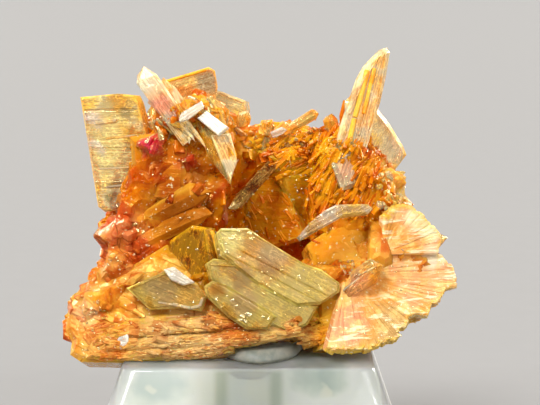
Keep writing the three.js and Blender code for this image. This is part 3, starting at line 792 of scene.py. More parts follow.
@dataclass(frozen=True)
class FringedCrystal:
    """The finish of the serrated fan: pink-orange, fine rays, and a bright yellow band at its rim that is
    painted glow.
    """

    inner: Colour = (242, 162, 60)
    rosy: Colour = (244, 170, 112)
    light: Colour = (255, 214, 130)
    hatch_highlight: Colour = (255, 244, 200)
    fringe_glow: Colour = (255, 206, 60)
    fringe_width: float = 0.16
    ray: Colour = (255, 226, 150)
    lit: Colour = (255, 206, 110)
    glint_speck: Colour = (255, 244, 206)
    inner_light: Colour = (255, 220, 160)
    depth_tint: Colour = (255, 200, 90)
    density: float = 240.0
    index: float = 1.65
    hatch_turn: Point3 = (0.0, math.radians(28), 0.0)
    zones: tuple[Zone, ...] = (
        Zone((242, 150, 50), (7.4, 3.8, -3.9), 1.7, 0.7), Zone((226, 142, 108), (5.8, 2, -4.4), 1.5, 0.8),
        # Painted light: the near-white zone at 10.8, 5.4 is a painted highlight; the two pale yellow zones on
        # the upper lobe's edge are painted glow.
        Zone((196, 152, 86), (8.4, 1.7, -4.2), 1.7, 0.9), Zone((255, 240, 206), (10.8, 5.4, -3), 1.1, 0.8),
        Zone((240, 150, 50), (8.7, 6.8, -2.2), 1.1, 0.8), Zone((255, 246, 190), (9.8, 8, -2), 0.8, 0.95),
        Zone((255, 246, 190), (10.6, 7.1, -2), 0.8, 0.95),
    )

    def material(self) -> bpy.types.Material:
        """Builds the node material."""
        coat = Surface("fan_vesuvianite")
        place = coat.place()
        grain = coat.attribute("grain", "Vector")
        tone = coat.attribute("tone")
        cloud = coat.noise(place, 420.0, 4.0, 0.6)
        colour = coat.mix(coat.ramp(cloud, 0.42, 0.6), self.inner, self.rosy)
        colour = coat.zoned(colour, coat.warped(place), self.zones, FACE_DEPTH)
        lines = coat.noise(coat.vectors("MULTIPLY", grain, (0.2, 9.0, 4.0)), 1.6, 5.0, 0.65)
        scales = coat.ramp(coat.noise(place, 1300.0, 5.0, 0.7), 0.48, 0.6, 0.0, 0.6)
        colour = coat.mix(scales, colour, self.light)
        colour = coat.mix(coat.ramp(lines, 0.54, 0.7, 0.0, 0.5), colour, self.ray)
        colour = coat.mix(coat.ramp(tone, 0.5, 1.0, 0.0, 0.15), colour, self.lit)
        # Pale hatching that grows stronger towards the rim: partly the fan's own fine texture, partly painted
        # highlight streaks.
        behind_rim = coat.node("ShaderNodeSeparateXYZ", {}, {0: grain})
        turned = {"Vector": place, "Rotation": self.hatch_turn, "Scale": (700.0, 700.0, 5200.0)}
        hatching = coat.noise(coat.node("ShaderNodeMapping", {}, turned), 1.0, 4.0, 0.6)
        hatched = coat.ramp(hatching, 0.53, 0.62) * coat.ramp(behind_rim, 3.2, 0.8, 0.1, 0.85)
        colour = coat.mix(hatched, colour, self.hatch_highlight)
        # Painted glow: a bright yellow band along the rim stands in for light that shines through the thin
        # edge.
        fringe_glow = coat.ramp(behind_rim + lines * 0.3, self.fringe_width + 0.3, 0.12)
        colour = coat.mix(fringe_glow, colour, self.fringe_glow)
        # Painted glints: small near-white specks stand in for highlights on tiny facets.
        specks = coat.ramp(coat.noise(place, 5200.0, 2.0, 0.5), 0.64, 0.74)
        colour = coat.mix(specks, colour, self.glint_speck)
        normal = coat.bump(lines + hatching, 0.00009, 1.0, coat.facets(place, 2600.0, 0.34))
        rough = coat.ramp(coat.noise(place, 1500.0), 0.35, 0.7, 0.05, 0.25)
        shader = coat.principled({
            "Base Color": colour, "Roughness": rough, "IOR": self.index, "Normal": normal,
            "Specular IOR Level": 0.6, "Specular Tint": linear(self.inner_light), "Transmission Weight": 0.25,
        })
        return coat.finish(shader, self.depth_tint, self.density)


class Tint(Enum):
    """The clear finishes that the free crystals have."""

    ICE = ClearCrystal(
        "clear_pale", (255, 240, 186), (252, 196, 60), 300, streak=(255, 242, 186), bloom=(252, 206, 80),
        streaks=0.3, blooms=0.4, window=(176, 160, 96), windows=0.4, shade=(214, 176, 86), shades=0.15,
        rim=(255, 190, 60),
        zones=(
            Zone((255, 236, 160), (-7.4, 11.8, -1), 2.6, 0.9), Zone((250, 186, 60), (-7, 14.2, -0.9), 0.9, 0.9),
            # Painted shade: the three olive-grey zones stand in for a dark background seen through the clear
            # plate.
            Zone((160, 150, 100), (-6.4, 13.7, -0.9), 0.5, 0.9),
            Zone((250, 248, 240), (-8.4, 13.4, -1), 0.7, 0.95),
            Zone((248, 246, 232), (-8.3, 11.8, -1), 0.6, 0.9), Zone((250, 190, 66), (-6.2, 12.4, -1), 0.8, 0.9),
            Zone((150, 138, 80), (-7, 9.9, -1), 0.5, 0.95), Zone((150, 140, 90), (-7.2, 8.9, -1), 0.45, 0.9),
            Zone((228, 222, 196), (8.4, 11.8, 1.2), 0.9, 0.8),
            Zone((255, 236, 120), (8.7, 12.6, 1.2), 0.6, 0.8),
        ),
    )
    HONEY = ClearCrystal(
        "clear_honey", (255, 212, 90), (250, 156, 10), 420, streak=(255, 234, 150), bloom=(250, 166, 24),
        streaks=0.3, blooms=0.4, window=(190, 156, 84), windows=0.3, shade=(220, 150, 40), rim=(255, 180, 30),
        zones=(
            # Painted shade: the grey zone at the box's far end stands in for a dark background seen through it.
            Zone((156, 156, 132), (-2.1, 15.5, 0.4), 0.9, 0.9),
            Zone((255, 232, 140), (-3.6, 15, 0.4), 1.2, 0.8), Zone((236, 136, 4), (-3.6, 14.7, 0.4), 0.5, 0.9),
            Zone((236, 136, 4), (-3, 14.6, 0.4), 0.4, 0.9), Zone((248, 190, 140), (6.2, 4.4, -4.2), 1.2, 0.9),
        ),
    )
    GOLD = ClearCrystal(
        "clear_gold", (255, 186, 44), (250, 150, 6), 300, streak=(255, 206, 70), bloom=(250, 150, 12),
        streaks=0.5, blooms=0.5, clarity=0.6, milk=0.35,
    )
    LEMON = ClearCrystal(
        "clear_lemon", (226, 184, 74), (228, 152, 10), 560, streak=(244, 216, 110), bloom=(208, 156, 46),
        streaks=0.16, blooms=0.5, window=(170, 120, 36), windows=0.5, milk=0.2, shade=(176, 120, 20),
        shades=0.15, veins=0.25, specks=0.15, rim=(255, 236, 120),
        zones=(
            Zone((255, 246, 150), (-0.9, 6.9, -4.9), 1, 0.95),
            Zone((206, 138, 10), (0.6, 6.1, -4.9), 0.9, 0.85), Zone((150, 92, 14), (1.5, 5.4, -4.9), 0.8, 0.8),
            Zone((200, 172, 122), (2, 6.4, -4.8), 1.3, 0.8), Zone((224, 204, 92), (4, 4.3, -4.9), 1.6, 0.8),
            Zone((166, 108, 20), (0, 4.6, -5.3), 0.8, 0.8), Zone((218, 196, 90), (2.2, 3.2, -5.4), 1.6, 0.8),
            Zone((204, 164, 110), (0.2, 3.1, -5.8), 1, 0.8), Zone((206, 132, 6), (-1.5, 3.9, -5.8), 0.6, 0.9),
            Zone((200, 172, 116), (-4.4, 3.8, -5.1), 1.3, 0.85),
            Zone((236, 190, 96), (-2.9, 3.6, -5.1), 0.9, 0.8),
        ),
    )
    OLIVE = ClearCrystal(
        "clear_olive", (206, 132, 8), (176, 84, 0), 700, streak=(230, 166, 30), bloom=(156, 80, 0),
        streaks=0.15, blooms=0.8, window=(120, 62, 0), windows=0.6, milk=0.2, shade=(120, 60, 0), veins=0.6,
        rim=(252, 190, 30), rims=0.6,
    )
    BLUSH = ClearCrystal(
        "clear_blush", (255, 228, 170), (248, 156, 50), 380, streak=(255, 240, 196), bloom=(250, 190, 100),
        streaks=0.45, blooms=0.5, window=(246, 160, 70), windows=0.5, milk=0.2, shade=(246, 160, 40),
        shades=0.4, rim=(255, 240, 180), rims=0.6,
        zones=(
            Zone((246, 160, 140), (-4.5, 13.9, -2.4), 0.9, 0.8),
            Zone((255, 250, 220), (-5.4, 15.4, -2.2), 1, 0.7),
            Zone((244, 176, 140), (5.8, 10.6, -1.2), 0.9, 0.8),
            Zone((250, 164, 20), (6.6, 14.6, -1.2), 0.7, 0.7),
        ),
    )
    WHITE = ClearCrystal(
        "clear_white", (252, 244, 222), (255, 222, 150), 180, streak=(255, 250, 236), bloom=(232, 218, 196),
        streaks=0.25, blooms=0.4, window=(220, 190, 140), windows=0.5, milk=0.2, shade=(206, 166, 110),
        shades=0.4, rim=(255, 250, 230), rims=0.6, inner_light=(255, 246, 226),
    )
    SMOKE = ClearCrystal(
        "clear_smoke", (226, 204, 150), (200, 136, 30), 340, streak=(236, 230, 210), bloom=(176, 136, 70),
        streaks=0.3, blooms=0.7, window=(136, 116, 100), windows=0.6, specks=1, milk=0.12, shade=(120, 90, 50),
        rim=(250, 210, 90), rims=0.4,
    )
    BROWN = ClearCrystal(
        "clear_brown", (206, 130, 24), (120, 46, 0), 1000, streak=(244, 196, 100), bloom=(130, 64, 2),
        streaks=0.2, blooms=0.8, window=(96, 42, 0), windows=0.5, specks=0.8, shade=(84, 34, 0),
        rim=(90, 34, 0), rims=0.9,
    )
    ZONED = ZonedCrystal()
    SMALL = ZonedCrystal(name="small_vesuvianite", glow=0)


@dataclass(frozen=True)
class MilkyPlastic:
    """The finish of the stand: clear moulded plastic that has gone a little milky."""

    tint: Colour = (250, 254, 246)
    haze: Colour = (250, 252, 238)
    cream: Colour = (255, 250, 224)
    bore: float = 1.5
    bore_depth: float = 3.2
    zones: tuple[Zone, ...] = (
        # Painted shade: the bluish-grey and greenish-grey zones stand in for shaded parts seen through the
        # block.
        Zone((176, 190, 190), (-4.8, -1.2, -7), 1.9, 0.6), Zone((246, 244, 226), (-4.9, -1.65, -7), 0.3, 0.6),
        Zone((170, 186, 180), (3.9, -0.6, -7), 1.4, 0.6), Zone((170, 186, 180), (5, -0.7, -7), 1.2, 0.5),
        Zone((250, 247, 228), (4.4, -1.5, -7), 0.4, 0.7), Zone((255, 252, 230), (-1.9, -1.3, -7), 1.6, 0.8),
        Zone((255, 252, 232), (0.9, -0.6, -7), 1.1, 0.8), Zone((255, 252, 232), (0.9, -1.8, -7), 1.1, 0.8),
    )
    # painted shade of the bore's walls seen through the plastic
    edge: Colour = (168, 178, 160)
    cool: Colour = (238, 246, 240)
    depth_tint: Colour = (206, 226, 212)
    density: float = 45.0
    index: float = 1.49

    def material(self) -> bpy.types.Material:
        """Builds the node material."""
        coat = Surface("milky_plastic")
        place = coat.place()
        stretched = coat.vectors("MULTIPLY", place, (1.0, 1.0, 0.3))
        flow = coat.noise(stretched, 260.0, 4.0, 0.55)
        pools = coat.noise(coat.vectors("ADD", stretched, (0.013, 0.0, 0.004)), 170.0, 2.0, 0.4)
        specks = coat.ramp(coat.noise(place, 2600.0), 0.62, 0.75)
        normal = coat.bump(flow * 0.8 + specks * 0.2, 0.00006, 0.3, coat.facets(place, 300.0, 0.01))
        rough = coat.ramp(flow, 0.3, 0.7, 0.02, 0.07)
        warped = coat.warped(place)
        colour = coat.mix(flow, self.tint, self.cool)
        colour = coat.zoned(colour, warped, self.zones, FACE_DEPTH)
        radius = self.bore * MM
        # Painted shade: darker grey-green bands at the bore's radius, between its floor and just below the top,
        # stand in for the bore's walls seen through the plastic.
        beside = coat.away(place, (1.0, 0.0, 0.0))
        inside = coat.ramp(beside, radius * 0.55, radius * 0.9, 0.0, 0.6)
        edges = inside * coat.ramp(beside, radius * 1.3, radius * 1.0)
        height = coat.node("ShaderNodeSeparateXYZ", {}, {0: place}, 2)
        edges = edges * coat.ramp(height, (STAND_TOP - self.bore_depth) * MM, (STAND_TOP - 1.6) * MM)
        edges = edges * coat.ramp(height, STAND_TOP * MM, (STAND_TOP - 0.3) * MM)
        colour = coat.mix(edges, colour, self.edge)
        glass = coat.principled({
            "Base Color": colour, "Roughness": rough, "IOR": self.index, "Normal": normal,
            "Transmission Weight": 0.97,
        })
        # The bore's own walls and floor take the cream milky finish at a high share: partly the plastic's
        # milkiness, partly painted light that keeps the shaded hole from rendering dark.
        bore = coat.ramp(coat.away(place, (1.0, 1.0, 0.0)), radius * 1.08, radius * 1.03)
        milky = coat.zoned(self.haze, warped, self.zones, FACE_DEPTH)
        milky = coat.mix(edges, milky, self.edge)
        haze = coat.principled({
            "Base Color": coat.mix(bore, milky, self.cream), "Roughness": 0.3, "IOR": self.index,
            "Normal": normal, "Subsurface Weight": 1.0, "Subsurface Radius": (1.0, 1.0, 0.9),
            "Subsurface Scale": 3 * MM,
        })
        clear = coat.ramp(beside, radius * 0.5, radius * 2.4, 0.6, 1.0)
        milk = coat.ramp(pools, 0.3, 0.7, 0.16, 0.36) * clear + bore * 0.8
        shader = coat.node("ShaderNodeMixShader", {}, {0: milk.clamped(), 1: glass, 2: haze})
        return coat.finish(shader, self.depth_tint, self.density)


@dataclass(frozen=True)
class SoftTack:
    """The finish of the tack: grey putty, a little see-through, with finger-worked dimples."""

    colour: Colour = (224, 222, 204)
    hollow: Colour = (172, 180, 168)

    def material(self) -> bpy.types.Material:
        """Builds the node material."""
        coat = Surface("grey_tack")
        place = coat.place()
        dimples = coat.noise(place, 1400.0, 4.0, 0.6)
        colour = coat.mix(coat.ramp(dimples, 0.35, 0.7), self.colour, self.hollow)
        shader = coat.principled({
            "Base Color": colour, "Roughness": coat.ramp(dimples, 0.3, 0.7, 0.3, 0.5),
            "Normal": coat.bump(dimples, 0.12 * MM, 0.6, coat.facets(place, 900.0, 0.05)),
            "Subsurface Weight": 0.6, "Subsurface Radius": (1.0, 1.0, 0.9), "Subsurface Scale": 0.8 * MM,
            "Transmission Weight": 0.75,
        })
        return coat.finish(shader)


@dataclass(frozen=True)
class PaperSweep:
    """The finish of the floor: plain pale paper."""

    colour: Colour = (118, 117, 116)
    fibre: Colour = (121, 120, 119)

    def material(self) -> bpy.types.Material:
        """Builds the node material."""
        coat = Surface("pale_paper")
        fibres = coat.noise(coat.place(), 400.0, 4.0, 0.6)
        colour = coat.mix(fibres, self.colour, self.fibre)
        shader = coat.principled({"Base Color": colour, "Roughness": 0.8, "Specular IOR Level": 0.2})
        return coat.finish(shader)


@cache
def painted(finish: Any) -> bpy.types.Material:
    """The material of a finish, made once."""
    return finish.material()


def add_piece(name: str, mesh: bpy.types.Mesh, finish: Any, node: str) -> bpy.types.Object:
    """Puts a mesh into the scene as a piece of the object.

    Args:
        name: The piece's name.
        mesh: Its mesh, in metres.
        finish: Its finish.
        node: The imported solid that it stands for.

    Returns:
        The piece.
    """
    mesh.materials.clear()
    mesh.materials.append(painted(finish))
    piece = placed(name, mesh)
    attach(piece, BODY)
    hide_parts(node)
    mesh.calc_loop_triangles()
    LOG.info("%s: %d triangles", name, len(mesh.loop_triangles))
    return piece


def add_crystals(name: str, mesh: bpy.types.Mesh, finish: Any) -> bpy.types.Object:
    """Puts a mesh into the scene as part of the specimen."""
    return add_piece(name, mesh, finish, CLUSTER)


# Crystals


@dataclass(frozen=True)
class BladeShape:
    """A blade's section and how it ends, as the solids have them."""

    width: float
    thickness: float
    roll: float = 0.0
    point: float = 0.25
    chisel: float = 0.5
    slant: float = 0.3
    taper: float = 0.9


def blade_hull(
    start: Vector, end: Vector, facing: Vector, shape: BladeShape
) -> tuple[list[Vector], list[Face], Axes]:
    """A blade or prism between two points, with a slanted chisel tip.

    Args:
        start: The middle of its root.
        end: The tip.
        facing: Roughly the way its broad face looks.
        shape: Its section and tip.

    Returns:
        The points, the faces and the crystal's axes.
    """
    along = end - start
    length = along.length
    along = along.normalized()
    facing = (facing - along * facing.dot(along)).normalized()
    facing = Matrix.Rotation(math.radians(shape.roll), 3, along) @ facing
    across = along.cross(facing)
    axes = Axes(start, along, across, facing)
    half_width = 0.5 * shape.width
    half_thickness = 0.5 * shape.thickness
    edge = 0.3 * min(shape.width, shape.thickness)
    section = [
        (sign_a * a, sign_f * f)
        for sign_a in (1, -1)
        for sign_f in (1, -1)
        for a, f in ((half_width, half_thickness - edge), (half_width - edge, half_thickness))
    ]
    shoulder = length * (1 - shape.point)
    drop = length * shape.point * shape.slant
    points = [axes.world(0, a * shape.taper, f * shape.taper) for a, f in section]
    points += [axes.world(shoulder - drop * a / shape.width, a, f) for a, f in section]
    points += [
        axes.world(length, half_width * shape.chisel, 0),
        axes.world(length - drop, -half_width * shape.chisel, 0),
    ]
    corners, faces = hull(points)
    return corners, faces, axes


@dataclass(frozen=True)
class Lump:
    """A broken lump: the hull of its outline and of smaller rings in front and behind."""

    outline: Sequence[Point2]
    front: float
    middle: float
    back: float
    seed: int
    shrink_front: float = 0.7
    shrink_back: float = 0.6
    rough: float = 0.25

    def mesh(self) -> bpy.types.Mesh:
        """The lump as a working mesh."""
        chance = Chance(self.seed)
        middle_u, middle_v = middle_of(self.outline)
        points = [VIEW.seen(u, v, self.middle) for u, v in self.outline]
        for depth, shrink in ((self.front, self.shrink_front), (self.back, self.shrink_back)):
            for u, v in self.outline:
                ring_u = middle_u + (u - middle_u) * shrink + self._jitter(chance)
                ring_v = middle_v + (v - middle_v) * shrink + self._jitter(chance)
                points.append(VIEW.seen(ring_u, ring_v, depth + self._jitter(chance)))
        return plain_mesh(*hull(points))

    def _jitter(self, chance: Chance) -> float:
        """A random shift of at most the lump's roughness."""
        return (chance() - 0.5) * 2 * self.rough


@dataclass(frozen=True)
class Tablet:
    """A tabular crystal by the outline that the front view shows, on a turned and leant plane."""

    outline: Sequence[Point2]
    depth: float
    thickness: float
    turn: float = 0.0
    lean: float = 0.0
    bevel: float = 0.15
    grain: float = 0.0
    pitch: float = 0.4
    relief: float = 0.05
    rim: float = 0.3

    def plane(self) -> Axes:
        """The axes of its broad face, with along level and across upward."""
        normal = Matrix.Rotation(math.radians(-self.lean), 3, "X") @ FORWARD
        normal = Matrix.Rotation(math.radians(self.turn), 3, "Z") @ normal
        level = Vector((0, 0, 1)).cross(normal).normalized()
        return Axes(VIEW.seen(*middle_of(self.outline), self.depth), level, normal.cross(level), normal)

    def on_plane(self, plane: Axes, u: float, v: float) -> Point2:
        """Where the sight line through u, v meets its plane, in the plane's own axes."""
        line = VIEW.line(u, v)
        reach = (plane.middle - VIEW.eye).dot(plane.facing) / line.dot(plane.facing)
        offset = VIEW.eye + line * reach - plane.middle
        return (offset.dot(plane.along), offset.dot(plane.across))

    def add_to(self, form: Form, seed: int) -> None:
        """Adds the crystal to a form.

        Args:
            form: The form.
            seed: The seed of its growth steps and tone.
        """
        plane = self.plane()
        full = [self.on_plane(plane, u, v) for u, v in self.outline]
        small = inset(full, self.bevel)
        back, front = (small, -self.thickness), (small, 0.0)
        rings = (back, (full, self.bevel - self.thickness), (full, -self.bevel), front)
        points = [plane.world(a, c, facing) for ring, facing in rings for a, c in ring]
        faces = ring_faces(len(rings), len(full))
        angle = math.radians(self.grain)
        along = plane.along * math.cos(angle) + plane.across * math.sin(angle)
        across = plane.facing.cross(along)
        axes = Axes(plane.middle, along, across, plane.facing)
        bar = ribbed_bar(axes, WIDE, SKIN, -self.thickness, self.pitch, self.relief, seed)
        mesh = combined(plain_mesh(points, faces), [bar], "INTERSECT")
        reach = self.bevel + self.rim
        rim = self._rim_test(plane, axes, full, reach)
        add_mesh(form, scored(mesh, plane, full, reach), axes, seed, rim)

    @staticmethod
    def _rim_test(
        plane: Axes, axes: Axes, outline: Sequence[Point2], reach: float
    ) -> Callable[[Point3], float]:
        """Makes a test of how close a place is to the outline.

        Args:
            plane: The outline's plane.
            axes: The axes that places are given in.
            outline: The outline in its plane.
            reach: How far inside the outline the share falls to 0.

        Returns:
            The test, which gives 1 on the outline.
        """
        sides = [(Vector(a), Vector(b)) for a, b in zip(outline, [*outline[1:], outline[0]])]

        def share(place: Point3) -> float:
            """The rim share at a place in the grain's axes."""
            offset = axes.world(*place) - plane.middle
            spot = Vector((offset.dot(plane.along), offset.dot(plane.across)))
            nearest = reach
            for start, end in sides:
                close, along = intersect_point_line(spot, start, end)
                close = close if 0 <= along <= 1 else (start if along < 0 else end)
                nearest = min(nearest, (spot - Vector(close[:2])).length)
            return 1 - nearest / reach

        return share


@dataclass(frozen=True)
class Blade:
    """A blade or prism from its root to its tip, both as u, v and depth."""

    root: Point3
    tip: Point3
    width: float
    thickness: float
    roll: float = 0.0
    point: float = 0.25
    chisel: float = 0.5
    pitch: float = 0.16
    relief: float = 0.06

    def add_to(self, form: Form, seed: int) -> None:
        """Adds the crystal to a form.

        Args:
            form: The form.
            seed: The seed of its growth steps and tone.
        """
        shape = BladeShape(self.width, self.thickness, self.roll, self.point, self.chisel)
        root, tip = VIEW.seen(*self.root), VIEW.seen(*self.tip)
        points, faces, axes = blade_hull(root, tip, FORWARD, shape)
        half = 0.5 * self.thickness
        bar = ribbed_bar(axes, 0.6 * self.width, half + SKIN, -half, self.pitch, self.relief, seed)
        mesh = combined(plain_mesh(points, faces), [bar], "INTERSECT")
        width = 0.5 * self.width
        edge = 0.35 * width
        sides = ((-LONG, -width), (LONG, -width), (LONG, width), (-LONG, width))
        mesh = scored(mesh, axes, sides, edge)
        add_mesh(form, mesh, axes, seed, lambda place: max(0.0, 1 - (width - abs(place[1])) / edge))


def scored(mesh: bpy.types.Mesh, plane: Axes, outline: Sequence[Point2], depth: float) -> bpy.types.Mesh:
    """Splits a working mesh's faces along lines that run inside its outline.

    Args:
        mesh: The mesh.
        plane: The outline's plane.
        outline: The outline in that plane.
        depth: How far inside it the lines run.

    Returns:
        The mesh with the added edges.
    """
    work = bmesh.new()
    work.from_mesh(mesh)
    drawn_in = inset(outline, depth)
    for start, end in zip(drawn_in, [*drawn_in[1:], drawn_in[0]]):
        side = Vector((start[1] - end[1], end[0] - start[0])).normalized()
        normal = plane.along * side.x + plane.across * side.y
        geometry = work.verts[:] + work.edges[:] + work.faces[:]
        bmesh.ops.bisect_plane(work, geom=geometry, plane_co=plane.world(*start, 0), plane_no=normal)
    work.to_mesh(mesh)
    work.free()
    return mesh


def add_mesh(form: Form, mesh: bpy.types.Mesh, axes: Axes, seed: int, rim: Callable[[Point3], float]) -> None:
    """Adds a working mesh to a form as one crystal.

    Args:
        form: The form.
        mesh: The mesh, in millimetres.
        axes: The crystal's axes.
        seed: The seed of its tone.
        rim: Tells the rim share of a place in those axes.
    """
    points = [vertex.co.copy() for vertex in mesh.vertices]
    faces = [list(polygon.vertices) for polygon in mesh.polygons]
    form.add(points, faces, axes, random.Random(seed).random(), rim)


@dataclass(frozen=True)
class RidgeLine:
    """A narrow raised crystal that runs over a tablet's face or along its edge."""

    sheet: Tablet
    path: tuple[Point2, ...]
    width: float
    rise: float = 0.1
    sunk: float = 0.35

    def add_to(self, form: Form, seed: int) -> None:
        """Adds one crystal for each stretch of the path to a form.

        Args:
            form: The form.
            seed: The seed of their tones.
        """
        chance = random.Random(seed)
        plane = self.sheet.plane()
        spots = [self.sheet.on_plane(plane, u, v) for u, v in self.path]
        height = self.rise + self.sunk
        shape = BladeShape(self.width, height, point=0.04, chisel=0.7, slant=0.2, taper=1.0)
        for start, end in zip(spots, spots[1:]):
            root = plane.world(*start, self.rise - 0.5 * height)
            tip = plane.world(*end, self.rise - 0.5 * height)
            points, faces, axes = blade_hull(root, tip, plane.facing, shape)
            form.add(points, faces, axes, chance.random())


@dataclass(frozen=True)
class CrystalGroup:
    """Crystals that have one finish and make one piece."""

    name: str
    finish: Tint
    crystals: tuple[Tablet | Blade | RidgeLine, ...]

    def build(self) -> bpy.types.Object:
        """Makes the piece."""
        form = Form()
        for index, crystal in enumerate(self.crystals):
            crystal.add_to(form, sum(map(ord, self.name)) + index)
        return add_crystals(self.name, form.mesh(self.name), self.finish.value)


LUMPS = (
    Lump((
        (-9.7, 0.2), (-9.9, 1.7), (-9.6, 3), (-9, 3.8), (-7.9, 4.5), (-5.7, 5.2), (-1.2, 5.2), (1.2, 4),
        (5, 4.6), (7.2, 5.6), (7.6, 3.4), (7, 0.6), (3, 0.3), (-0.7, 0.2), (-5.2, -0.4), (-9, -0.3),
    ), -3.9, -1.8, 3.6, shrink_front=0.86, shrink_back=0.66, rough=0.2, seed=11),
    Lump((
        (3.4, 0.4), (3.2, 4.8), (5.4, 6.9), (7.9, 7.9), (9.3, 7.4), (10.6, 6), (11.3, 4.7), (10.6, 3.3),
        (9.2, 2.2), (8.4, 1.2), (6.9, 0.5),
    ), -2, 0, 4.2, shrink_front=0.74, shrink_back=0.62, rough=0.2, seed=22),
    Lump((
        (-7.6, 5.6), (-7.9, 6.9), (-7.4, 8), (-6.5, 9), (-6.2, 12.3), (-5.2, 13.4), (-3.6, 14.1),
        (-1.6, 14.2), (-0.4, 13.2), (-0.4, 9.6), (-1.4, 6), (-4, 4),
    ), -2.1, 0.6, 4.6, shrink_front=0.8, shrink_back=0.66, seed=33),
    Lump((
        (-3, 4), (-3.2, 12.6), (0, 13), (1.4, 12.9), (3.4, 12.9), (5.4, 12.6), (6.4, 9), (5, 4),
    ), 0.8, 2.6, 5.4, shrink_front=0.85, shrink_back=0.7, rough=0.3, seed=44),
    Lump((
        (3.4, 9.6), (4, 12.6), (5.6, 13.2), (6.6, 12.6), (7.3, 11), (8.5, 10.3), (8.7, 9.2), (9.3, 8.4),
        (7.6, 6.2), (4.8, 5), (3.4, 6.2),
    ), -1.4, 1, 4.8, shrink_back=0.66, seed=55),
    Lump((
        (-8, 6.4), (-8, 7.2), (-7.5, 7.8), (-6.3, 8.2), (-5.4, 7.2), (-6, 6.2), (-7.4, 6),
    ), -2.2, -1, 1.4, seed=66),
    Lump((
        (-7.8, 5.2), (-7.6, 6), (-6.6, 6.1), (-5.6, 5.4), (-6.2, 4.5), (-7.6, 4.5),
    ), -3.2, -2, 0.6, seed=77),
    Lump(((-8.3, 4.5), (-8.1, 5), (-7.5, 5), (-7.2, 4.3), (-7.9, 4)), -2.8, -1.8, 0.2, rough=0.1, seed=88),
    Lump((
        (-5.9, 12.1), (-5.3, 12.6), (-4.6, 12.5), (-4.5, 11.8), (-5.1, 11.4),
    ), -2.7, -1.9, -0.6, rough=0.08, seed=99),
    Lump((
        (-3.6, 11.2), (-2.9, 11.5), (-2.3, 11.1), (-2.6, 10.6), (-3.3, 10.6),
    ), -2.9, -2.2, -0.8, rough=0.08, seed=111),
    Lump((
        (7.6, 9), (7.5, 10.4), (8.3, 10.7), (8.9, 10.3), (8.9, 9.5), (8.4, 8.8),
    ), -0.6, 0.6, 2.6, rough=0.12, seed=122),
    Lump((
        (-5, 13), (-4.6, 14.2), (-2.6, 14.6), (-1, 13.8), (-0.6, 12.4), (-2.4, 11.9),
    ), -2.4, -1.2, 0.8, rough=0.2, seed=144),
    Lump((
        (-4, 6), (-3.4, 12), (0.4, 12.4), (4.6, 11.8), (6, 6.4), (1, 4.4),
    ), 3, 4.6, 6.2, shrink_back=0.55, rough=0.4, seed=155),
)
HOLLOW = Lump((
    (-0.9, 8.2), (-0.4, 10.2), (1.4, 11.6), (3.4, 11.3), (4.4, 9.6), (4, 7.6), (2, 5.9), (0, 6),
), -6, -2.6, 1.3, shrink_front=1.1, rough=0.15, seed=133)


@dataclass(frozen=True)
class Chiselling:
    """One round of breaking a surface into flat facets."""

    spacing: float
    tilt: float
    deepest: float
    stretch: float = 1.0
    seed: int = 1


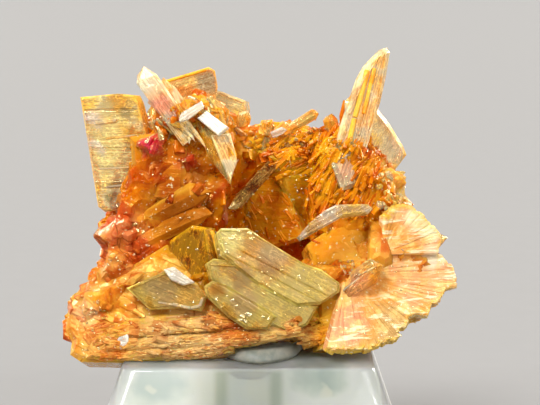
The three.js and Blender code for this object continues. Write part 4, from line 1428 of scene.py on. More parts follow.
@dataclass(frozen=True)
class BrokenMass:
    """The broken mass: joined lumps less the hollow, chiselled into large and small facets."""

    lumps: tuple[Lump, ...] = LUMPS
    hollow: Lump = HOLLOW
    grid: float = 0.17
    chiselling: tuple[Chiselling, ...] = (
        Chiselling(spacing=1.5, tilt=16.0, deepest=0.35, seed=3),
        Chiselling(spacing=0.6, tilt=20.0, deepest=0.16, stretch=2.2, seed=5),
    )
    heading: Point3 = (0.55, 0.1, 0.83)

    def build(self) -> bpy.types.Object:
        """Makes the piece."""
        lumps = [lump.mesh() for lump in self.lumps]
        joined = combined(lumps[0], lumps[1:], "UNION")
        cut = combined(joined, [self.hollow.mesh(), underside_block()], "DIFFERENCE")
        mesh = applied(cut, self._remesh)
        mesh.name = "crystal_mass"
        tone = np.zeros(len(mesh.vertices))
        points = self._rows(mesh, "co")
        for chiselling in self.chiselling:
            points, cell = self._chisel(points, self._rows(mesh, "normal"), chiselling)
            tone += cell
            mesh.vertices.foreach_set("co", points.ravel())
            mesh.update()
        floor = STAND_TOP + UNDERSIDE_LIFT + math.tan(UNDERSIDE_SLOPE) * points[:, 0]
        points[:, 2] = np.maximum(points[:, 2], floor)
        mesh.vertices.foreach_set("co", (points * MM).ravel())
        heading = Vector(self.heading).normalized()
        side = heading.cross(FORWARD).normalized()
        frame_axes = np.array([heading, side, heading.cross(side)])
        dress_points(mesh, points @ frame_axes.T, tone / len(self.chiselling), np.zeros(len(points)))
        mesh.update()
        return add_crystals("crystal_mass", mesh, Tint.ZONED.value)

    def _remesh(self, holder: bpy.types.Object) -> None:
        """Adds the even grid that the facets are cut in."""
        modifier = holder.modifiers.new("grid", "REMESH")
        modifier.mode = "VOXEL"
        modifier.voxel_size = self.grid

    @staticmethod
    def _rows(mesh: bpy.types.Mesh, kind: str) -> np.ndarray:
        """Reads a vector of each point.

        Args:
            mesh: The mesh.
            kind: "co" for the places, "normal" for the normals.

        Returns:
            One row for each point.
        """
        rows = np.empty(len(mesh.vertices) * 3)
        mesh.vertices.foreach_get(kind, rows)
        return rows.reshape(-1, 3)

    def _chisel(
        self, points: np.ndarray, normals: np.ndarray, way: Chiselling
    ) -> tuple[np.ndarray, np.ndarray]:
        """Moves each point onto the plane of the facet that it is nearest to.

        Args:
            points: Rows of x, y, z.
            normals: Their normals.
            way: How large, how tilted and how deep the facets are.

        Returns:
            The moved points and each one's facet tone.
        """
        chance = np.random.default_rng(way.seed)
        heading = np.array(Vector(self.heading).normalized())
        squeeze = np.eye(3) - (1 - 1 / way.stretch) * np.outer(heading, heading)
        wanted = int(len(points) * (self.grid / way.spacing) ** 2)
        seeds = chance.choice(len(points), wanted, replace=False)
        planes = normals[seeds] + np.tan(math.radians(way.tilt)) * chance.uniform(-1, 1, (wanted, 3))
        planes /= np.linalg.norm(planes, axis=1)[:, None]
        tones = chance.uniform(0, 1, wanted)
        tree = KDTree(wanted)
        squeezed = points @ squeeze
        for index, seed in enumerate(seeds):
            tree.insert(squeezed[seed], index)
        tree.balance()
        nearest = np.array([tree.find(point)[1] for point in squeezed])
        centre = points[seeds[nearest]]
        facing = planes[nearest]
        away = np.einsum("ij,ij->i", points - centre, facing)
        away = np.clip(away, -way.deepest, way.deepest)
        return points - facing * away[:, None], tones[nearest]


@dataclass(frozen=True)
class SerratedFan:
    """A fan of ribs that spread from a centre and end in a serrated rim."""

    name: str
    sheet: Tablet
    centre: Point2
    rim: Sequence[Point2]
    ribs: int
    thickness: float
    seed: int
    root_share: float = 0.12
    rim_jitter: float = 0.24
    rise: float = 0.02
    dip: float = 0.25
    overlap: Point2 = (2.2, 3.6)
    roll: Point2 = (-0.6, 0.6)
    slant: Point2 = (-0.3, 0.3)

    def build(self) -> bpy.types.Object:
        """Makes the piece."""
        chance = random.Random(self.seed)
        plane = self.sheet.plane()
        centre = Vector(self.sheet.on_plane(plane, *self.centre))
        rim = [Vector(self.sheet.on_plane(plane, u, v)) for u, v in self.rim]
        lengths = [(b - a).length for a, b in zip(rim, rim[1:])]
        spacing = sum(lengths) / self.ribs
        form = Form()
        for index in range(self.ribs):
            end = self._along(rim, lengths, (index + 0.5) * spacing)
            ray = (end - centre).normalized()
            end = end + ray * self.rim_jitter * (chance.random() - 0.6)
            start = centre.lerp(end, self.root_share + 0.5 * chance.random() ** 2)
            lift = self.rise * chance.uniform(-0.5, 0.5)
            shape = BladeShape(
                width=spacing * chance.uniform(*self.overlap), thickness=self.thickness,
                roll=chance.uniform(*self.roll), point=0.05, chisel=0.7, slant=chance.uniform(*self.slant),
                taper=0.6,
            )
            middle = -0.5 * self.thickness + lift
            root = plane.world(start.x, start.y, middle - self.dip)
            tip = plane.world(end.x, end.y, middle)
            points, faces, axes = blade_hull(root, tip, plane.facing, shape)
            form.add(points, faces, Axes(tip, -axes.along, axes.across, axes.facing), chance.random())
        return add_crystals(self.name, form.mesh(self.name), FringedCrystal())

    @staticmethod
    def _along(rim: Sequence[Vector], lengths: Sequence[float], reach: float) -> Vector:
        """The point at that reach along the rim."""
        for index, length in enumerate(lengths):
            if reach <= length:
                return rim[index].lerp(rim[index + 1], reach / length)
            reach -= length
        return rim[-1]


class Pose(Enum):
    """How a small crystal sits on the surface."""

    LYING = "lying"
    STANDING = "standing"
    GLINTING = "glinting"


@dataclass(frozen=True)
class Patch:
    """A window, as seen from one side, over which small crystals of one habit are strewn."""

    low: Point2
    high: Point2
    count: int
    length: Point2
    width: Point2
    pose: Pose = Pose.STANDING
    heading: Point3 = (0, 0, 1)
    spread: float = 0.6
    azimuth: float = 0.0
    elevation: float = 0.0
    proud: float = 0.4
    flatness: Point2 = (0.35, 0.8)


@dataclass(frozen=True)
class CrustGroup:
    """Patches of small crystals that have one finish and make one piece."""

    name: str
    finish: Tint
    seed: int
    patches: tuple[Patch, ...]

    def build(self, ground: "Ground") -> bpy.types.Object:
        """Makes the piece on what is already there."""
        chance = random.Random(self.seed)
        form = Form()
        for patch in self.patches:
            for _ in range(patch.count):
                self._seat(form, patch, ground, chance)
        return add_crystals(self.name, form.mesh(self.name), self.finish.value)

    def _seat(self, form: Form, patch: Patch, ground: "Ground", chance: random.Random) -> None:
        """Seats one crystal where a sight line of the patch meets the specimen.

        Args:
            form: The form that it goes into.
            patch: The patch.
            ground: What it sits on.
            chance: The row of random numbers.
        """
        u = chance.uniform(patch.low[0], patch.high[0])
        v = chance.uniform(patch.low[1], patch.high[1])
        wander = Vector([chance.uniform(-1, 1) for _ in range(3)]) * patch.spread
        length = chance.uniform(*patch.length)
        width = chance.uniform(*patch.width)
        thickness = width * chance.uniform(*patch.flatness)
        roll = chance.uniform(-35, 35)
        point = chance.uniform(0.12, 0.35)
        tone = chance.random()
        hit = ground.hit(u, v, patch.azimuth, patch.elevation)
        if hit is None:
            return
        place, outward = hit
        if patch.pose is Pose.GLINTING:
            halfway = ground.to_eye(patch.azimuth, patch.elevation) + KEY.toward()
            facing = (halfway + 0.1 * wander).normalized()
            along = facing.cross(Vector((0.3, 0.2, 1)) + wander).normalized()
            start = place - along * length * 0.5 + facing * thickness * (patch.proud - 0.5)
            roll = 0
        elif patch.pose is Pose.STANDING:
            along = (outward + wander).normalized()
            start = place - along * length * (1 - patch.proud)
            facing = FORWARD if abs(along.y) < 0.9 else Vector((1, 0, 0))
        else:
            heading = Vector(patch.heading) + wander
            along = (heading - outward * heading.dot(outward)).normalized()
            start = place - along * length * 0.5 + outward * thickness * (patch.proud - 0.5)
            facing = outward
        shape = BladeShape(width, thickness, roll, point, chisel=chance.uniform(0.2, 0.7))
        points, faces, axes = blade_hull(start, start + along * length, facing, shape)
        form.add(points, faces, axes, tone)


class Ground:
    """What is already built, for finding the surface that a sight line meets."""

    def __init__(self, pieces: Sequence[bpy.types.Object]) -> None:
        """Reads the pieces' meshes, in millimetres."""
        points: list[Vector] = []
        faces: list[list[int]] = []
        for piece in pieces:
            start = len(points)
            points.extend(vertex.co * PER_METRE for vertex in piece.data.vertices)
            faces.extend([start + i for i in polygon.vertices] for polygon in piece.data.polygons)
        self.tree = BVHTree.FromPolygons(points, faces)

    @staticmethod
    def _swing(azimuth: float, elevation: float) -> Matrix:
        """The turn from the front view to another side."""
        turn = Matrix.Rotation(math.radians(azimuth), 3, "Z")
        return turn @ Matrix.Rotation(math.radians(-elevation), 3, "X")

    def to_eye(self, azimuth: float, elevation: float) -> Vector:
        """The way to the eye on that side."""
        return self._swing(azimuth, elevation) @ -VIEW.sight

    def hit(self, u: float, v: float, azimuth: float, elevation: float) -> tuple[Vector, Vector] | None:
        """Where a sight line meets the surface.

        Args:
            u: To the right in that side's picture.
            v: Up in that side's picture.
            azimuth: The side looked at: 0 is the front, 90 the right.
            elevation: How much higher than the front view's the eye is, in degrees.

        Returns:
            The place and the way out of the surface, or None.
        """
        pivot = Vector(VIEW.target)
        swing = self._swing(azimuth, elevation)
        eye = pivot + swing @ (VIEW.eye - pivot)
        place, outward, _, _ = self.tree.ray_cast(eye, (swing @ VIEW.line(u, v)).normalized())
        if place is None:
            return None
        if outward.dot(eye - place) < 0:
            outward = -outward
        return place, outward


# Holder


@dataclass(frozen=True)
class TackDab:
    """The flattened dab between the stand and the specimen."""

    centre: Point2 = (0.6, -2.6)
    radii: Point2 = (2.3, 3.3)
    sides: int = 72
    profile: tuple[Point2, ...] = (
        (0.84, 0.0), (0.95, 0.05), (1.0, 0.2), (1.0, 0.4), (0.97, 0.65), (0.93, 0.85), (0.88, 1.0),
    )

    def build(self) -> bpy.types.Object:
        """Makes the piece."""
        points: list[Vector] = []
        for share, level in self.profile:
            for side in range(self.sides):
                angle = math.tau * side / self.sides
                wave = 1 + 0.025 * math.sin(3 * angle + 0.6) + 0.015 * math.sin(7 * angle + 2.0 * level)
                x = self.centre[0] + self.radii[0] * share * wave * math.cos(angle)
                y = self.centre[1] + self.radii[1] * share * wave * math.sin(angle)
                top = UNDERSIDE_LIFT + math.tan(UNDERSIDE_SLOPE) * x + 0.02
                points.append(Vector((x, y, STAND_TOP + level * top)))
        faces = ring_faces(len(self.profile), self.sides)
        faces[-2] = faces[-2][::-1]
        mesh = bpy.data.meshes.new("mineral_tack_dab")
        mesh.from_pydata([point * MM for point in points], [], faces)
        mesh.shade_smooth()
        return add_piece("mineral_tack_dab", mesh, SoftTack(), TACK)


@dataclass(frozen=True)
class ClearStand:
    """The moulded block with sloping sides, rounded edges and a round blind hole."""

    top_half: float = 6.7
    base_half: float = 9.6
    corner: float = 0.9
    bevel: float = 0.3
    corner_steps: int = 10
    bevel_steps: int = 4
    hole_radius: float = 1.5
    hole_depth: float = 2.6
    hole_sides: int = 64

    def build(self) -> bpy.types.Object:
        """Makes the piece."""
        points = []
        for step in range(self.bevel_steps + 1):
            angle = 0.5 * math.pi * step / self.bevel_steps
            inward = self.bevel * (1 - math.sin(angle))
            height = self.bevel * (1 - math.cos(angle))
            points += self._ring(self.base_half - inward, height)
            points += self._ring(self.top_half - inward, STAND_TOP - height)
        block = combined(plain_mesh(*hull(points)), [self._hole()], "DIFFERENCE")
        mesh = bpy.data.meshes.new("clear_block")
        corners = [vertex.co * MM for vertex in block.vertices]
        mesh.from_pydata(corners, [], [list(polygon.vertices) for polygon in block.polygons])
        mesh.shade_smooth()
        mesh.set_sharp_from_angle(angle=math.radians(32))
        return add_piece("clear_block", mesh, MilkyPlastic(), STAND)

    def _ring(self, half: float, height: float) -> list[Vector]:
        """A level square with rounded corners."""
        ring = []
        for sign_x, sign_y, start in ((1, 1, 0), (-1, 1, 90), (-1, -1, 180), (1, -1, 270)):
            for step in range(self.corner_steps + 1):
                angle = math.radians(start + 90 * step / self.corner_steps)
                x = sign_x * (half - self.corner) + self.corner * math.cos(angle)
                y = sign_y * (half - self.corner) + self.corner * math.sin(angle)
                ring.append(Vector((x, y, height)))
        return ring

    def _hole(self) -> bpy.types.Mesh:
        """The blind hole, with moulding rings near its domed floor."""
        r = self.hole_radius
        d = self.hole_depth
        profile = [
            (r, 1.0), (r, 0.55 - d), (r - 0.12, 0.5 - d), (r - 0.12, 0.38 - d), (r - 0.26, 0.33 - d),
            (r - 0.26, 0.2 - d), (r - 0.5, 0.05 - d), (r - 0.9, 0.0 - d), (0.3, 0.14 - d), (0.02, 0.18 - d),
        ]
        turns = [math.tau * side / self.hole_sides for side in range(self.hole_sides)]
        points = [
            Vector((radius * math.cos(turn), radius * math.sin(turn), STAND_TOP + z))
            for radius, z in profile
            for turn in turns
        ]
        return plain_mesh(points, ring_faces(len(profile), self.hole_sides))


# Studio


@dataclass(frozen=True)
class Lamp:
    """A distant soft lamp: the side and height that it shines from, and how wide it looks."""

    name: str
    azimuth: float
    elevation: float
    spread: float
    strength: float
    colour: Point3 = (1.0, 1.0, 1.0)

    def toward(self) -> Vector:
        """The way to the lamp. Azimuth 0 is the front and 90 the right."""
        level = math.cos(math.radians(self.elevation))
        angle = math.radians(self.azimuth)
        height = math.sin(math.radians(self.elevation))
        return Vector((level * math.sin(angle), -level * math.cos(angle), height))

    def build(self) -> None:
        """Hangs the lamp."""
        light = bpy.data.lights.new(self.name, "SUN")
        light.angle = math.radians(self.spread)
        light.energy = self.strength
        light.color = self.colour
        holder = placed(self.name, light)
        holder.location = self.toward() * 0.2
        holder.rotation_euler = self.toward().to_track_quat("Z", "Y").to_euler()


KEY = Lamp("key_light", -34, 50, 26, 4.5)
WARM = (1.0, 0.95, 0.86)


@dataclass(frozen=True)
class Studio:
    """The camera at the photograph's angle, the pale floor and the soft lights."""

    lamps: tuple[Lamp, ...] = (
        KEY,
        Lamp("fill_light", 36, 24, 50, 1.7),
        Lamp("top_light", 170, 66, 34, 1.6),
        Lamp("left_rim_light", -128, 26, 22, 2.8, WARM),
        Lamp("right_rim_light", 124, 30, 22, 3.4, WARM),
        Lamp("left_spark", -50, 30, 4, 0.3),
        Lamp("right_spark", 38, 38, 4, 0.3),
    )
    surround: float = 0.2
    floor_radius: float = 5.0
    flat_radius: float = 1.0
    sweep: float = 0.5
    lens: float = 90.0

    def build(self) -> None:
        """Sets the camera, the lamps and the floor."""
        scene = bpy.context.scene
        camera = placed("camera", bpy.data.cameras.new("camera"))
        camera.data.lens = self.lens
        camera.data.sensor_width = self.lens * VIEW.width / VIEW.distance
        camera.data.clip_start = 0.001
        camera.location = VIEW.eye * MM
        camera.rotation_euler = VIEW.sight.to_track_quat("-Z", "Y").to_euler()
        scene.camera = camera
        for lamp in self.lamps:
            lamp.build()
        scene.world = self._surround()
        scene.view_settings.view_transform = "Standard"
        self._floor()

    def _surround(self) -> bpy.types.World:
        """The plain surround."""
        world = bpy.data.worlds.new("studio")
        world.use_nodes = True
        background = world.node_tree.nodes["Background"]
        background.inputs["Color"].default_value = (1, 1, 1, 1)
        background.inputs["Strength"].default_value = self.surround
        return world

    def _floor(self) -> None:
        """Lays the round floor, whose far edge sweeps up."""
        mesh = bpy.data.meshes.new("floor")
        sides, rings = 128, 12
        turns = [math.tau * side / sides for side in range(sides)]
        points: list[Point3] = []
        for ring in range(rings + 1):
            out = ring / rings
            radius = self.flat_radius + (self.floor_radius - self.flat_radius) * out
            height = self.sweep * out * out
            points += [(radius * math.cos(turn), radius * math.sin(turn), height) for turn in turns]
        *sweep, middle, _ = ring_faces(rings + 1, sides)
        mesh.from_pydata(points, [], [middle, *(face[::-1] for face in sweep)])
        mesh.shade_smooth()
        mesh.materials.append(painted(PaperSweep()))
        floor = placed("floor", mesh)


# Measures of the specimen's pieces

LEFT_PLATE = Tablet((
    (-9.1, 14.6), (-7, 14.8), (-6.1, 14.7), (-5.9, 14.3), (-5.2, 11.6), (-5.4, 9.2), (-7.1, 8.3), (-7.7, 8.2),
    (-8.1, 8.5),
), -0.9, 1.3, turn=-14, lean=4, bevel=0.16, grain=2, pitch=0.34, relief=0.07, rim=0.06)
BACK_BOX = Tablet((
    (-4.9, 15.4), (-1.9, 16.3), (-1.55, 16.1), (-1.4, 15.2), (-1.8, 12.8), (-4.4, 12.6),
), 0.6, 1.9, turn=6, lean=12, bevel=0.16, grain=16, pitch=0.25, rim=0.06)
BACK_PRISM = Tablet((
    (-1.7, 15.1), (0.15, 14.4), (0.2, 13.9), (0, 12.2), (-1.6, 12.4),
), 2, 1.2, turn=-10, lean=8, bevel=0.2, grain=-20, pitch=0.5, relief=0.04)
TALL_BLADE = Tablet((
    (8.1, 17.4), (7.75, 17.3), (6.9, 16.4), (6.5, 15.7), (5.7, 13.4), (5, 10.9), (5.6, 9.4), (6.6, 9.7),
    (6.9, 11.4), (7.3, 13.1), (7.7, 14.3), (8.05, 15.9), (8.25, 17.1),
), -0.9, 0.9, turn=16, lean=9, bevel=0.25, grain=73, pitch=0.2, relief=0.09)
REAR_WEDGE = Tablet((
    (7.4, 14.2), (8.2, 13.2), (9, 11.9), (9.2, 11.4), (8.6, 10.6), (7.2, 9.9), (6.4, 12.4),
), 1.4, 1.8, turn=18, lean=6, bevel=0.3, grain=62)
OLIVE_TABLET = Tablet((
    (-2.9, 7.5), (-4.2, 6.6), (-4.3, 4.6), (-2, 3.6), (-1.9, 6.1), (-2.1, 7.35),
), -3.6, 1.6, turn=-20, lean=10, bevel=0.2, grain=80)
NARROW_TABLET = Tablet((
    (-2.15, 7.3), (-1.65, 7.35), (-0.8, 4.4), (-1.6, 3.8),
), -3.9, 1.4, turn=20, lean=12, bevel=0.12, grain=-72)
UPPER_BLADE = Tablet((
    (-1.45, 7.1), (-1.2, 7.35), (0.3, 7.35), (1.1, 6.8), (3.4, 5.4), (4.4, 5.05), (5.4, 4.3), (5.4, 3.8),
    (4.3, 3.1), (3, 3), (0.8, 4.2), (-0.6, 5.3), (-1.2, 5.8),
), -4.7, 1.3, turn=12, lean=20, bevel=0.16, grain=-30, pitch=0.7, relief=0.06, rim=0.05)
MIDDLE_BLADE = Tablet((
    (-2, 5.4), (-1.6, 5.65), (-0.2, 5.45), (1.2, 4.5), (3.2, 3.3), (4.2, 3), (3.6, 1.95), (2.6, 1.5),
    (0.9, 2.1), (-1.2, 3.8), (-1.75, 4.5),
), -5.2, 1.3, turn=10, lean=16, bevel=0.16, grain=-30, pitch=0.7, relief=0.06, rim=0.05)
LOWER_BLADE = Tablet((
    (-2.15, 4.1), (-1.7, 4.4), (-0.95, 4.2), (1.05, 3), (1.9, 2.4), (1.4, 1.7), (0.2, 1.7), (-0.85, 2.4),
    (-2, 3.5),
), -5.7, 1.2, turn=6, lean=12, bevel=0.16, grain=-32, pitch=0.6, rim=0.05)
STEP_PRISM = Tablet((
    (5.45, 3.9), (6.05, 5), (7.05, 5.7), (7.75, 5.3), (7.4, 4.4), (5.8, 3.45),
), -4.2, 1.4, turn=-8, lean=18, bevel=0.28, grain=42)
WINDOW_TABLET = Tablet((
    (-6.5, 4), (-4.4, 4.95), (-3.95, 5), (-2.55, 4.2), (-2.05, 3.45), (-2.3, 2.7), (-3.5, 2.9), (-5.2, 2.8),
), -5, 1, turn=-4, lean=16, bevel=0.14, grain=-22, pitch=0.8, relief=0.04, rim=0.05)
ORANGE_BLOCK = Tablet((
    (-6.4, 12.4), (-4.4, 12.7), (-3, 11.9), (-3.2, 9.4), (-4.2, 8.6), (-6.1, 8.9),
), -2.2, 2, turn=-12, lean=6, bevel=0.35)
LOWER_SLAB = Tablet((
    (-8.2, 4.1), (-4.3, 6.5), (-3.6, 6.1), (-2.1, 4.2), (-0.2, 2.4), (-0.6, 0.5), (-2.4, 0.2), (-5.2, 0),
    (-6.8, -0.1), (-9.1, -0.05), (-9.7, 0.35), (-9.6, 1.1), (-9.95, 1.7), (-9.8, 3), (-9.2, 3.8),
), -4.5, 2.4, turn=-8, lean=24, bevel=0.35, grain=-24, pitch=0.5, relief=0.08)
FAN_SHEET = Tablet((
    (7.4, 5.6), (9.4, 6.3), (11, 5.9), (11.6, 5.4), (11.95, 5), (12, 4.2), (11.35, 4), (11.2, 3.3),
    (10.6, 3.15), (10.5, 2.5), (9.9, 2.6), (9.45, 2.4), (9.35, 1.9), (8.85, 1.65), (8.75, 1.15), (8, 0.95),
    (7.5, 0.7), (7, 0.6), (4.6, 0.7), (4.6, 3.6),
), -2.6, 2.2, turn=24, lean=22, bevel=0.5)
UPPER_LOBE = Tablet((
    (7.4, 6), (7.8, 7.6), (8.4, 8.5), (9.3, 8.65), (10.2, 8), (10.9, 7.3), (11.1, 6.7), (11, 6.1), (9.6, 5.2),
), -1.2, 1.9, turn=26, lean=16, bevel=0.5)

